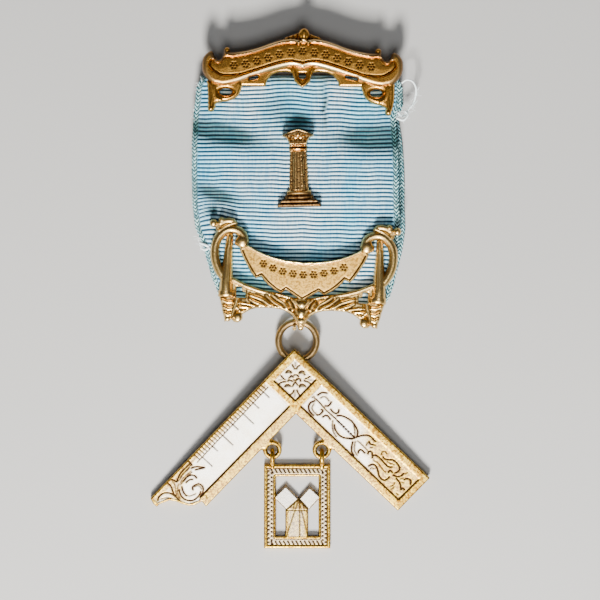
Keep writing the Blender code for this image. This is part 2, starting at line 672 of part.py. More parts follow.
def half_round(name, low, high, half_low, half_high, relief, base, sides=10):
    """A drum seen from the front: a half-round bar along Y with a flat back."""
    shape = bmesh.new()
    rings = []
    for y, half in ((low, half_low), (high, half_high)):
        around = [math.pi * step / sides for step in range(sides + 1)]
        rings.append([shape.verts.new((half * math.cos(a), y, base + relief * math.sin(a))) for a in around])
    count = sides + 1
    for step in range(count):
        after = (step + 1) % count
        shape.faces.new((rings[0][step], rings[0][after], rings[1][after], rings[1][step]))
    shape.faces.new(rings[0])
    shape.faces.new(rings[1])
    return from_bmesh(name, shape)


def flute_cutters(size, foot, back):
    """Thin round grooves that follow the shaft's taper."""
    reach = PILLAR_SHAFT["relief"] * PILLAR_RELIEF
    grooves = []
    for number in range(FLUTES):
        a = math.pi * (number + 1) / (FLUTES + 1)
        ends = [
            (half * size * math.cos(a), foot + up * size, back + reach * math.sin(a))
            for up, half in ((FLUTE_LOW, PILLAR_SHAFT["half_low"]), (FLUTE_HIGH, PILLAR_SHAFT["half_high"]))
        ]
        grooves.append(cylinder("flute", ends[0], ends[1], FLUTE_RADIUS, 6))
    return grooves


def pillar(look):
    size = PILLAR_HEIGHT
    back = BAR_BACK
    foot = -size / 2
    parts = []
    for number, step in enumerate(PILLAR_STEPS):
        base_z = back + number * STAGGER
        low, high = foot + step["low"] * size, foot + step["high"] * size
        half_low, half_high = step["half_low"] * size, step["half_high"] * size
        relief = step["relief"] * PILLAR_RELIEF
        if step["round"]:
            parts.append(half_round("drum", low, high, half_low, half_high, relief, base_z))
        else:
            outline = [(-half_low, low), (half_low, low), (half_high, high), (-half_high, high)]
            parts.append(prism("step", outline, base_z, back + relief))
    abacus = [(x * size, foot + y * size) for x, y in ABACUS]
    parts.append(prism("abacus", mirrored(abacus), back - STAGGER, back + PILLAR_RELIEF - STAGGER))
    for leaf in CAPITAL_LEAVES:
        place = (leaf["across"] * size, foot + leaf["up"] * size, back + leaf["height"] * PILLAR_RELIEF)
        half = [share * size for share in CAPITAL_LEAF_HALF] + [CAPITAL_LEAF_RELIEF * PILLAR_RELIEF]
        parts.append(dome("leaf", place, half, 8))
    post_foot = RAIL_Z - POST_DIAMETER / 2
    parts.append(cylinder("post", (0, 0, post_foot), (0, 0, back + OVERLAP), POST_DIAMETER / 2))
    base = combined(parts[0], parts[1:], "UNION")
    base = combined(base, flute_cutters(size, foot, back), "DIFFERENCE")
    return placed(base, PILLAR_TURN, PILLAR_X, -PILLAR_DROP, "pillar", look)


def pillar_keeper(look):
    """The washer that holds the pillar's post behind the ribbon's front layer."""
    top = 2 * RAIL_Z - RIBBON_WALL - CLEARANCE
    disc = cylinder("disc", (0, 0, top - KEEPER_THICKNESS), (0, 0, top), KEEPER_DIAMETER / 2, 16)
    bore = cylinder("bore", (0, 0, 0), (0, 0, BAR_BACK), POST_DIAMETER / 2 + CLEARANCE, 12)
    return placed(combined(disc, [bore], "DIFFERENCE"), 0.0, PILLAR_X, -PILLAR_DROP, "pillar_keeper", look)


def side_pieces(size, side, plate_top):
    """The scroll ring, torch, collar, foot, buds and leaves on one side of the lower bar."""
    middle = BAR_BACK + SCROLL_WIRE / 2
    pieces = []
    for name, path, centre, share in (
        ("scroll", SCROLL_PATH, middle, 1.0),
        ("torch", TORCH_PATH, middle, 1.15),
    ):
        run = smooth(path, 2)
        points = [(side * x * size, y * size, centre) for x, y, _ in run]
        pieces.append(tube(name, points, [half * size for _, _, half in run], share))
    radius = SWAG_CURL["radius"] * size
    place = (side * SWAG_CURL["across"] * size, SWAG_CURL["up"] * size, middle)
    pieces.append(dome("curl", place, (radius, radius, 0.65 * SCROLL_WIRE), 12))
    low, high = COLLAR["low"] * size, COLLAR["high"] * size
    half = COLLAR["half_width"] * size
    collar = half_round("collar", low, high, half, half, TORCH_RELIEF, BAR_BACK)
    collar.data.transform(Matrix.Translation((side * COLLAR["across"] * size, 0, 0)))
    pieces.append(collar)
    foot = [(side * x, y) for x, y in scaled(FOOT_EDGE, size)]
    pieces.append(prism("foot", foot, BAR_BACK - OVERLAP - 2 * STAGGER, plate_top + SWAG_RELIEF - STAGGER))
    crest = [(side * x, y) for x, y in scaled(CREST_EDGE, size)]
    pieces.append(prism("crest", crest, BAR_BACK - OVERLAP - 3 * STAGGER, plate_top))
    for bud in BUDS:
        half = bud["radius"] * size
        place = (side * bud["across"] * size, bud["up"] * size, middle)
        pieces.append(dome("bud", place, (half, half, SCROLL_WIRE / 2), 8))
    for leaf in LEAVES:
        half = (leaf["length"] * size / 2, leaf["width"] * size / 2, LEAF_RELIEF)
        blade = dome("leaf", (0, 0, 0), half, 8)
        turn = Matrix.Rotation(math.radians(side * leaf["turn"]), 4, "Z")
        spot = Matrix.Translation((side * leaf["across"] * size, leaf["up"] * size, plate_top))
        blade.data.transform(spot @ turn)
        pieces.append(blade)
    return pieces


def lower_bar(look):
    size = LOWER_HALF
    plate_top = BAR_BACK + LOWER_PLATE
    rough_back = BAR_BACK - OVERLAP
    base = prism("lower_bar", mirrored(scaled(SWAG_EDGE, size)), rough_back, plate_top + SWAG_RELIEF)
    garland = mirrored(scaled(GARLAND_EDGE, size))
    pieces = [prism("garland", garland, rough_back - STAGGER, plate_top)]
    window = GARLAND_WINDOW
    cuts = []
    for side in (-1, 1):
        left, right = sorted((side * window["left"] * size, side * window["right"] * size))
        outline = box_outline(left, right, window["low"] * size, window["high"] * size)
        cuts.append(prism("window", outline, rough_back - OVERLAP, plate_top + OVERLAP))
    pieces = [combined(pieces[0], cuts, "DIFFERENCE")]
    for side in (-1, 1):
        pieces += side_pieces(size, side, plate_top)
    for knob in CENTRE_KNOBS:
        half = knob["radius"] * size
        pieces.append(dome("knob", (0, knob["up"] * size, plate_top), (half, half, KNOB_RELIEF), 10))
    base = combined(base, pieces, "UNION")
    slab = prism("slab", box_outline(-2 * size, 2 * size, -size, 2 * size), 0.0, BAR_BACK)
    base = combined(base, [slab], "DIFFERENCE")
    bail_x = (RING_X - LOWER_X) - math.sin(math.radians(LOWER_TURN)) * (BAIL_Y - LOWER_RAIL_Y)
    back = rail_pieces(LOWER_RAIL_SHARE * size, LOWER_POST_SHARE * size)
    back.append(bail("bail", bail_x, -BAIL_DROP * size, plate_top - OVERLAP))
    base = combined(base, back, "UNION")
    return placed(base, LOWER_TURN, LOWER_X, LOWER_RAIL_Y, "lower_bar", look)


def arm_axes():
    """Directions of the square's left and right arm."""
    a = math.radians(45 + ARM_TURN)
    return Vector((-math.cos(a), -math.sin(a))), Vector((math.sin(a), -math.cos(a)))


def on_arms(points):
    """Points measured along the left and right arm, as places from the square's corner."""
    left, right = arm_axes()
    return [tuple(along * left + across * right) for along, across in points]


def eye_depth():
    """How far an eye's centre lies from the arm's outer edge, with its rim soldered to the inner one."""
    return ARM_WIDTH + EYE_OUTER / 2 - EYE_SUNK


def plumb_x():
    """The line midway between the eyes at which both hang level, measured from the corner."""
    left, right = arm_axes()
    return EYE_SPACING / 2 * (left.y**2 - left.x**2) + eye_depth() * (right.x + left.x)


def eye_centre(side):
    """An eye's place below the inner edge of the left (-1) or right (1) arm."""
    left, right = arm_axes()
    arm, other = (left, right) if side < 0 else (right, left)
    along = (side * EYE_SPACING / 2 + plumb_x() - eye_depth() * other.x) / arm.x
    return along * arm + eye_depth() * other


def leaned():
    """The move that rests the square's lower end at Z = 0 and its corner on the ring."""
    left, right = arm_axes()
    lowest = (RIGHT_ARM * right + ARM_WIDTH * left).y
    ring_foot = -CORNER_TO_BAIL - RING_WIRE / 2
    lift = RING_Z + RING_WIRE / 2 + CLEARANCE
    tilt = Matrix.Rotation(math.atan(lift / (ring_foot - lowest)), 4, "X")
    return Matrix.Translation((0, lowest, 0)) @ tilt @ Matrix.Translation((0, -lowest, 0))


def square(look):
    width = ARM_WIDTH
    end = [(LEFT_ARM - back * width, across * width) for across, back in ARM_END]
    outline = [(0, 0)] + end + [(width, width), (width, RIGHT_ARM), (0, RIGHT_ARM)]
    base = prism("square", on_arms(outline), 0.0, SQUARE_PLATE)
    rim = BORDER
    panel_low, panel_high = SQUARE_PLATE - PANEL_DEPTH, SQUARE_PLATE + OVERLAP
    panels = (
        box_outline(width, LEFT_ARM - width, rim, width - rim),
        box_outline(rim, width - rim, width, RIGHT_ARM - rim),
        box_outline(rim, width - rim, rim, width - rim),
    )
    pockets = [prism("panel", on_arms(panel), panel_low, panel_high) for panel in panels]
    base = combined(base, pockets, "DIFFERENCE")
    eyes = []
    for side in (-1, 1):
        centre = eye_centre(side)
        place = (centre.x, centre.y, SQUARE_PLATE / 2)
        eyes.append(ring_wire("eye", place, EYE_RADIUS, EYE_WIRE / 2, "Z", 18, 8))
        inward = arm_axes()[side < 0]
        seam = centre - inward * (EYE_OUTER / 2 - EYE_SUNK / 2)
        half = (SOLDER, SOLDER, SQUARE_PLATE / 3)
        eyes.append(dome("solder", (seam.x, seam.y, SQUARE_PLATE / 2), half, 10))
    base = combined(base, eyes, "UNION")
    base.data.transform(leaned())
    bail_top = RING_Z + RING_WIRE / 2 + CLEARANCE + 0.6 * SQUARE_PLATE
    base = combined(base, [bail("bail", RING_X - CORNER_X, -CORNER_TO_BAIL, bail_top)], "UNION")
    return placed(base, 0.0, CORNER_X, CORNER_Y, "square", look)


def jump_ring(look):
    made = ring_wire("jump_ring", (0, 0, RING_Z), RING_RADIUS, RING_WIRE / 2, "Z", 28, 8)
    return placed(made, 0.0, RING_X, RING_Y, "jump_ring", look)


def hung_plate(look):
    half = PLATE_WIDTH / 2
    eye = eye_centre(-1)
    rim = leaned() @ Vector((eye.x, eye.y - EYE_RADIUS, SQUARE_PLATE / 2))
    loop_y = rim.y
    top = loop_y - LOOP_RADIUS - LOOP_WIRE / 4
    base = prism("hung_plate", box_outline(-half, half, top - PLATE_HEIGHT, top), 0.0, PLATE_THICKNESS)
    inner = half - PLATE_BORDER
    foot = top - PLATE_HEIGHT + PLATE_BORDER
    hole = box_outline(-inner, inner, foot, top - PLATE_BORDER)
    opening = prism("opening", hole, -OVERLAP, PLATE_THICKNESS + OVERLAP)
    base = combined(base, [opening], "DIFFERENCE")
    figure = []
    for outline in FIGURE_SQUARES:
        points = [(x * PLATE_WIDTH, foot + y * PLATE_WIDTH) for x, y in outline]
        figure.append(prism("figure", points, FIGURE_SUNK, PLATE_THICKNESS - FIGURE_SUNK))
    points = [(x * PLATE_WIDTH, foot + y * PLATE_WIDTH) for x, y in FIGURE_BASE]
    figure.append(prism("figure", points, FIGURE_SUNK + STAGGER, PLATE_THICKNESS - FIGURE_SUNK - STAGGER))
    loop_z = max(LOOP_RADIUS + LOOP_WIRE / 2, rim.z)
    for side in (-1, 1):
        centre = (side * EYE_SPACING / 2, loop_y, loop_z)
        figure.append(ring_wire("loop", centre, LOOP_RADIUS, LOOP_WIRE / 2, "X", 16, 8))
        seam = (side * EYE_SPACING / 2, top, PLATE_THICKNESS)
        figure.append(dome("solder", seam, (SOLDER, 0.8 * SOLDER, SOLDER), 8))
    base = combined(base, figure, "UNION")
    return placed(base, 0.0, CORNER_X + plumb_x(), CORNER_Y, "hung_plate", look)


def centre_on_floor(pieces):
    """Moves the jewel so that the foot of its bounding box is centred on the origin."""
    corners = [vertex.co for piece in pieces for vertex in piece.data.vertices]
    low = [min(c[axis] for c in corners) for axis in range(3)]
    high = [max(c[axis] for c in corners) for axis in range(3)]
    move = Matrix.Translation((-(low[0] + high[0]) / 2, -(low[1] + high[1]) / 2, -low[2]))
    for piece in pieces:
        piece.data.transform(move)


def main():
    clear_scene()
    gold = material("orange_gold", GOLD)
    pale = material("pale_gold", PALE_GOLD)
    brass = material("brown_brass", BRASS)
    cloth = material("blue_cloth", BLUE_CLOTH)
    pieces = [
        brooch_bar(gold), brooch_pin(brass), ribbon(cloth), pillar(gold), pillar_keeper(brass),
        lower_bar(pale), jump_ring(brass), square(pale), hung_plate(pale),
    ]
    centre_on_floor(pieces)


main()
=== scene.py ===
"""Looks for a past master's breast jewel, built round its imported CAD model.

The cast and engraved pieces are relief meshes cut along their outlines. Sizes in the tables are in
millimetres and measured from each piece's own middle, with y towards the brooch bar.
"""

import math

import bpy
import numpy as np
from mathutils import Matrix, Vector


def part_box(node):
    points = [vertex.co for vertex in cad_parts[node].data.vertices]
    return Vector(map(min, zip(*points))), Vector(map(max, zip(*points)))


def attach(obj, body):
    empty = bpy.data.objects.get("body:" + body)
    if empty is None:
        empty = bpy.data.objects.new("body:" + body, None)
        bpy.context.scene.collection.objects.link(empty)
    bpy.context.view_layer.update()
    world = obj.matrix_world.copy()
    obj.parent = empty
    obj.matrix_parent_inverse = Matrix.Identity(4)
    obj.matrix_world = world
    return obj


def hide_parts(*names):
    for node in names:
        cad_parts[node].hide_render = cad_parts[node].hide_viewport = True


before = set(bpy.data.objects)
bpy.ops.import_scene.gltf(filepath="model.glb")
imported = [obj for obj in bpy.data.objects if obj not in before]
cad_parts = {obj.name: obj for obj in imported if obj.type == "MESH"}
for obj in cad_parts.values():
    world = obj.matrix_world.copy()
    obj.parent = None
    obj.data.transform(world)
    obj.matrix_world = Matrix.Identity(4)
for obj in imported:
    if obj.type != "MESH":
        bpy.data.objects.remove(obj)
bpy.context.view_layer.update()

MM = 0.001
FLAT = (1.0, 1.0, 0.0)

# Reliefs: the grid's step, a depth that is outside everything, a distance to add where nothing is
# to be cut, the width of a rounded edge, the reach and depth of a fully tarnished hollow, the least
# thickness of a casting, and the least share of a grid cell that its outline cuts off.
GRID = 0.12
OUTSIDE = -1e3
FAR = 10.0
SOFT_EDGE = 0.25
HOLLOW_REACH = 0.5
RECESS = 0.22
THINNEST = 0.15
LEAST_SHARE = 0.06

# Bends, in degrees, past which an edge is shaded as a crease
CAST_CREASE = 48
WIRE_CREASE = 50

# Heights above the surface that the jewel lies on
BAR_BACK = 3.9
RAIL_Z = 1.8
RING_Z = 1.65

# Wires. The ring's place is measured from the upper rail, as all places are, as in the CAD model.
# The square's corner passes over the ring with this gap, and posts go this far into the castings.
RAIL_WIRE = 1.0
RING_GAP = 0.3
POST_SINK = 0.3
RING_PLACE = (-0.9, -47.32)
RING_RADIUS = 3.55
RING_WIRE = 1.3
BAIL_WIRE = 0.7
BAIL_RADIUS = 1.3

# Brooch bar, across and up from the upper rail. Its edges are shares of BAR_HALF.
BAR_HALF = 18.5
# Its rail's half length, and how far out the posts are
BAR_RAIL = (0.84 * BAR_HALF, 0.66 * BAR_HALF)
BAR_TURN = -0.5
BAR_TOP_EDGE = (
    (0.000, 0.440), (0.124, 0.447), (0.224, 0.431), (0.323, 0.399), (0.423, 0.362),
    (0.522, 0.333), (0.622, 0.314), (0.692, 0.306), (0.745, 0.312), (0.780, 0.336),
)
BAR_END_EDGE = (
    (0.786, 0.280), (0.808, 0.243), (0.840, 0.232), (0.868, 0.258), (0.896, 0.318),
    (0.950, 0.297), (0.990, 0.247), (1.000, 0.177), (0.990, 0.107), (0.960, 0.053),
    (0.920, 0.010), (0.876, -0.015),
)
BAR_LOW_EDGE = (
    (0.796, -0.030), (0.721, -0.021), (0.622, 0.006), (0.522, 0.042), (0.423, 0.075),
    (0.323, 0.109), (0.224, 0.138), (0.124, 0.160), (0.060, 0.158), (0.000, 0.132),
)
FIELD_TOP_EDGE = (
    (0.000, 0.392), (0.124, 0.396), (0.224, 0.381), (0.323, 0.351), (0.423, 0.314),
    (0.522, 0.285), (0.622, 0.265), (0.692, 0.255), (0.765, 0.258), (0.800, 0.215),
    (0.841, 0.193), (0.871, 0.205), (0.893, 0.230), (0.920, 0.205), (0.925, 0.165),
)
FIELD_LOW_EDGE = (
    (0.891, 0.127), (0.821, 0.086), (0.751, 0.075), (0.622, 0.085), (0.522, 0.115),
    (0.423, 0.147), (0.323, 0.180), (0.224, 0.211), (0.124, 0.225), (0.000, 0.205),
)
BRACKET_EDGE = (
    (0.000, 0.200), (0.400, 0.200), (0.800, 0.120), (0.820, 0.020), (0.690, 0.000), (0.640, -0.027),
    (0.366, -0.027), (0.350, 0.030), (0.300, 0.088), (0.239, 0.112), (0.160, 0.120),
    (0.105, 0.107), (0.088, 0.068), (0.078, 0.020), (0.040, -0.015), (0.000, -0.042),
)
LEFT_EAR = (
    (-17.57, 0.40), (-11.50, 0.40), (-11.35, -1.43), (-12.03, -2.53), (-13.50, -3.28), (-14.97, -3.48),
    (-15.88, -3.86), (-15.97, -4.59), (-16.60, -4.90), (-17.20, -4.60), (-17.35, -4.24), (-17.37, -2.21),
)
RIGHT_EAR = (
    (16.95, 0.40), (16.95, -2.47), (16.70, -4.31), (16.45, -5.00), (15.80, -5.35), (15.25, -5.10),
    (15.35, -4.50), (14.60, -3.96), (13.20, -3.60), (11.90, -2.88), (11.15, -1.60), (11.20, 0.40),
)
EAR_HOLES = (
    {"x": -14.05, "y": -1.62, "wide": 1.12, "high": 0.66},
    {"x": 13.62, "y": -1.66, "wide": 1.12, "high": 0.70},
)
# A knob, hook, bead, bud or curl is given by its place and its radius.
EAR_KNOBS = ((-16.75, -4.70, 0.62), (15.85, -5.15, 0.62))
EAR_RIDGES = (
    ((-16.9, -0.2), (-16.4, -2.3), (-16.8, -4.4)), ((-16.2, -0.6), (-15.9, -2.6), (-15.0, -3.1)),
    ((16.3, -0.2), (15.7, -2.4), (16.0, -4.8)), ((15.6, -0.6), (15.3, -2.6), (14.4, -3.3)),
)
BRACKET_SLOTS = (((-9.5, 0.85), (-8.35, 1.12)), ((8.15, 1.25), (9.85, 0.90)))
BRACKET_WINDOW = ((-0.66, 1.95), (0.66, 1.95), (0.62, 1.05), (0.0, 0.75), (-0.62, 1.05))
BAR_HOOK = (13.9, 6.0, 0.60)
FINIAL = {"x": 0.24, "y": 9.02, "wide": 1.05, "high": 1.12}
FINIAL_BEADS = ((-0.74, 7.45, 0.50), (0.20, 8.02, 0.52), (1.02, 7.45, 0.50))
WING_EDGE = ((0.2, 7.9), (3.7, 8.02), (3.1, 8.55), (1.85, 8.95), (0.9, 9.3), (0.3, 9.5))
# The line of the punched rosettes in the sunk field
BAR_ROSETTES = (
    (-12.6, 3.25), (-10.2, 3.55), (-7.2, 4.45), (-3.6, 5.55), (0.0, 5.95),
    (3.6, 5.55), (7.2, 4.45), (10.2, 3.55), (12.6, 3.20),
)

# Pillar, up from its middle. Each step goes from low to high, with its half width at the foot and
# the top and its height over the castings' back. Some are round, and some lean towards the top.
PILLAR_PLACE = (-0.7, -15.5)
PILLAR_TURN = 1.2
# Thickness of the flat part under its rounds
PILLAR_FLAT = 0.35
PILLAR_STEPS = (
    {"low": -7.20, "high": -6.45, "foot": 4.05, "top": 4.00, "relief": 1.55, "round": False, "lean": -0.10},
    {"low": -6.50, "high": -5.70, "foot": 3.75, "top": 3.10, "relief": 1.35, "round": False, "lean": -0.10},
    {"low": -5.75, "high": -4.95, "foot": 2.80, "top": 2.55, "relief": 1.30, "round": True},
    {"low": -5.00, "high": -4.15, "foot": 2.30, "top": 2.20, "relief": 1.55, "round": True},
    {"low": -4.25, "high": 3.25, "foot": 1.84, "top": 1.53, "relief": 1.30, "round": True},
    {"low": 3.15, "high": 3.65, "foot": 1.68, "top": 1.68, "relief": 1.50, "round": True},
    {"low": 3.75, "high": 4.20, "foot": 1.62, "top": 1.62, "relief": 1.45, "round": True},
    {"low": 4.15, "high": 5.85, "foot": 1.50, "top": 2.25, "relief": 1.45, "round": True},
)
ABACUS = ((0.0, 7.2), (0.86, 7.0), (2.95, 6.08), (2.75, 5.75), (1.8, 5.5), (0.0, 5.35))
CAPITAL_LEAVES = (
    ((-1.45, 4.3), (-1.75, 5.2), (-2.25, 5.75)), ((-0.75, 4.3), (-0.85, 5.1), (-1.25, 5.7)),
    ((0.0, 4.3), (0.0, 5.2)), ((0.75, 4.3), (0.85, 5.1), (1.25, 5.7)),
    ((1.45, 4.3), (1.75, 5.2), (2.25, 5.75)), ((-1.15, 4.25), (-1.2, 4.75)),
    ((-0.4, 4.25), (-0.4, 4.8)), ((0.4, 4.25), (0.4, 4.8)), ((1.15, 4.25), (1.2, 4.75)),
)
SHAFT = PILLAR_STEPS[4]
FLUTES = 4

# Lower bar, right half, across and up from the lower rail
LOWER_PLACE = (0.0, -38.3)
LOWER_TURN = -2.7
LOWER_HALF = 17.2
LOWER_RAIL = (0.78 * LOWER_HALF, 0.62 * LOWER_HALF)
BAIL_DROP = 5.47
SWAG_EDGE = (
    (0.00, 5.45), (3.22, 5.67), (5.06, 6.02), (6.90, 6.51), (8.74, 7.27), (10.30, 8.10), (11.30, 8.20),
    (11.90, 7.20), (11.15, 5.75), (10.32, 4.33), (9.58, 3.04), (8.67, 2.08), (7.70, 2.51), (7.38, 2.03),
    (6.45, 1.10), (5.16, 0.19), (3.96, -0.41), (3.03, 0.26), (2.03, -0.36), (0.00, -1.65),
)
SWAG_LINE = (
    (11.30, 7.18), (10.76, 5.98), (9.94, 4.60), (9.20, 3.42), (8.56, 2.61), (7.64, 3.07), (7.08, 2.48),
    (6.16, 1.56), (4.97, 0.64), (3.96, 0.09), (2.98, 0.77), (1.84, 0.09), (0.00, -1.10),
)
SWAG_LIP = ((0.00, 5.30), (3.22, 5.52), (5.06, 5.87), (6.90, 6.36), (8.74, 7.12), (10.50, 8.00))
GARLAND_EDGE = (
    (0.00, -1.20), (2.20, -1.00), (4.20, -0.45), (5.99, -0.19), (7.84, 0.22), (9.68, 0.77),
    (11.52, 1.48), (13.07, 2.30), (13.07, -2.58), (10.72, -4.52), (9.41, -3.68), (8.29, -3.32),
    (7.19, -3.23), (5.54, -3.18), (3.87, -3.35), (2.58, -3.78), (1.65, -4.33), (1.10, -5.16),
    (0.74, -6.02), (0.52, -6.60), (0.0, -6.72),
)
GARLAND_WINDOW = ((10.40, -1.55), (12.15, -1.55), (12.15, 0.38), (11.20, 0.42), (10.40, 0.05))
GARLAND_STEM = ((12.84, 1.75), (10.55, 0.66), (8.42, 0.02), (6.43, -0.46), (4.2, -0.75), (2.2, -1.15))
GARLAND_LEAVES = (
    {"line": ((5.68, -0.64), (4.43, -1.53), (3.36, -2.19), (2.75, -2.99)), "half": 0.42},
    {"line": ((6.61, -0.87), (5.73, -1.71), (4.84, -2.30), (3.76, -2.89)), "half": 0.34},
    {"line": ((9.56, -1.01), (8.47, -1.34), (7.39, -1.72), (6.49, -2.26), (5.60, -2.80)), "half": 0.42},
    {"line": ((9.60, -1.69), (8.88, -2.15), (7.98, -2.50), (6.89, -2.90)), "half": 0.38},
    {"line": ((8.19, -3.10), (10.01, -2.70), (11.48, -2.58)), "half": 0.26},
    {"line": ((9.86, -3.34), (11.33, -3.39)), "half": 0.22},
    {"line": ((2.03, -1.37), (1.42, -2.13), (1.18, -2.88)), "half": 0.24},
    {"line": ((2.51, -1.80), (1.99, -2.56), (1.66, -3.41)), "half": 0.28},
)
GARLAND_GAPS = (
    ((9.85, -1.18), (9.22, -1.58), (8.32, -1.90), (7.41, -2.12), (6.69, -2.62), (6.16, -2.98),
     (5.42, -2.96)),
    ((9.55, -0.77), (8.45, -0.79), (7.54, -1.01), (6.63, -1.33), (6.10, -1.73), (5.57, -2.30),
     (5.22, -2.69), (4.58, -2.77)),
    ((6.04, -0.44), (5.70, -1.01), (5.17, -1.59), (4.45, -1.99), (3.55, -2.40), (3.12, -2.97)),
    ((9.44, -2.21), (8.91, -2.70), (8.36, -2.91), (7.99, -2.74)),
    ((5.30, -0.47), (4.40, -0.85), (3.31, -1.30), (2.59, -1.67)),
    ((2.31, -1.54), (1.70, -2.12), (1.35, -2.69), (1.20, -3.25)),
    ((2.01, -0.91), (1.10, -1.32), (0.39, -1.81)),
    ((8.39, -3.39), (10.03, -3.11), (11.13, -2.96), (11.65, -2.38)),
    ((10.42, -3.64), (11.35, -3.69), (12.11, -4.21), (12.42, -4.93)),
)
GARLAND_RIM = (
    (1.96, -3.76), (3.41, -3.28), (5.25, -3.10), (7.09, -3.14), (8.95, -3.43), (10.26, -4.01),
    (11.21, -4.52),
)
SCROLL_LINE = (
    (12.04, 8.60), (11.22, 8.83), (11.30, 9.75), (11.85, 10.45), (12.70, 10.86), (13.80, 10.95),
    (14.90, 10.40), (15.92, 9.20), (16.38, 7.73), (16.38, 5.89), (16.01, 4.42), (15.27, 2.94),
    (14.60, 2.20),
)
SCROLL_CURL = (11.45, 8.75, 1.25)
TORCH_LINE = ((13.76, 9.65), (13.90, 7.40), (13.93, 4.80), (14.00, 2.96), (14.07, 1.10), (14.04, -0.52))
TORCH_HALVES = (0.62, 0.76, 0.92, 1.07, 1.20, 1.28)
COLLAR = {"x": 13.95, "half": 1.50, "low": -1.57, "high": -0.35}
FOOT_EDGE = (
    (12.42, -1.29), (15.36, -1.29), (15.01, -2.30), (14.72, -3.31), (14.54, -4.23), (14.17, -5.34),
    (14.08, -6.16), (13.36, -5.80), (12.79, -5.61), (12.33, -6.07), (11.59, -6.16), (11.00, -5.70),
    (10.82, -4.97), (10.76, -4.42), (10.21, -4.05), (10.6, -2.8), (11.4, -1.9),
)
FOOT_STEM = ((11.90, -1.44), (12.02, -2.37), (12.24, -3.09), (12.52, -4.00), (12.66, -4.92), (12.73, -5.56))
FOOT_RIDGES = (
    ((12.86, -2.46), (13.69, -2.51), (14.61, -2.15)), ((12.82, -3.62), (13.56, -3.77), (14.30, -3.37)),
    ((12.95, -4.63), (13.52, -4.85), (14.10, -4.48)), ((11.35, -3.95), (11.9, -3.35), (12.1, -2.9)),
)
FOOT_KNOBS = ((13.50, -5.45, 0.62), (11.62, -5.15, 0.88))
HORN_EDGE = (
    (12.40, 11.85), (12.62, 12.40), (13.10, 12.85), (14.10, 13.08), (14.85, 12.90), (15.85, 12.55),
    (16.20, 12.10), (16.60, 11.20), (15.95, 9.70), (15.20, 10.60), (14.20, 11.35), (13.20, 11.60),
)
HORN_RIDGES = (
    {"line": ((15.75, 10.50), (14.66, 11.35), (13.60, 11.90), (12.72, 12.10)), "half": 0.34},
    {"line": ((15.60, 11.95), (14.55, 12.45), (13.45, 12.50)), "half": 0.52},
)
BUDS = ((16.90, 11.90, 0.76), (15.40, 12.50, 0.62))
DROP_EDGE = ((0.0, -0.9), (1.6, -1.0), (1.3, -3.4), (0.9, -5.0), (0.55, -6.3), (0.0, -6.6))
DROP_PETALS = (
    ((0.2, -3.0), (0.9, -2.1), (1.35, -1.5)), ((0.2, -4.6), (0.75, -3.7), (1.25, -3.1)),
    ((0.15, -6.0), (0.6, -5.2), (0.8, -4.6)),
)
DROP_KNOBS = (
    {"y": -2.25, "radius": 0.72, "top": 5.60}, {"y": -3.85, "radius": 0.78, "top": 5.75},
    {"y": -5.30, "radius": 0.66, "top": 5.55}, {"y": -6.55, "radius": 0.52, "top": 5.15},
)
SWAG_ROSETTES = (
    (-7.4, 4.95), (-5.4, 4.15), (-3.2, 3.55), (-1.0, 3.25), (1.0, 3.25), (3.2, 3.55), (5.4, 4.15),
    (7.4, 4.95),
)

# Square, along the left arm and along the right arm from its outer corner
CORNER_PLACE = (-1.45, -48.57)
ARM_TURN = 1.2
RIGHT_ARM = 34.7
ARM_WIDTH = 8.5
SQUARE_PLATE = 1.2
BORDER = 1.4
PANEL_DEPTH = 0.07
PANEL_RIM = ARM_WIDTH - BORDER - 0.55
PANEL_END = RIGHT_ARM - 1.35
CORNER_TO_BAIL = 2.3
ARM_END = (
    (38.56, 0.00), (38.90, 1.02), (38.90, 1.96), (38.14, 1.96), (36.35, 2.81), (35.67, 3.83), (35.25, 4.93),
    (34.65, 6.04), (33.80, 6.80), (32.36, 7.27), (32.53, 8.50),
)
PANELS = (
    (
        (8.1, 0.45), (38.3, 0.45), (38.2, 1.6), (36.0, 2.5), (34.3, 5.9), (32.6, 6.8),
        (31.9, PANEL_RIM), (8.1, PANEL_RIM),
    ),
    ((BORDER, 8.2), (BORDER, PANEL_END), (PANEL_RIM + 0.15, PANEL_END), (PANEL_RIM + 0.15, 8.2)),
    ((1.35, 1.35), (1.35, 6.65), (6.65, 6.65), (6.65, 1.35)),
)
BORDER_LINES = (
    ((8.4, 6.60), (31.9, 6.42)), ((6.82, 8.24), (6.86, 33.24), (1.7, 33.34)),
    ((1.35, 6.72), (6.76, 6.70), (6.80, 1.35)),
)
EDGE_LINE = ((8.43, 1.33), (27.6, 1.56))
EYE_SPACING = 9.15
EYE_OUTER = 1.75
EYE_HOLE = 0.95
EYE_MIDDLE = (EYE_OUTER + EYE_HOLE) / 2
EYE_DEPTH = 10.05
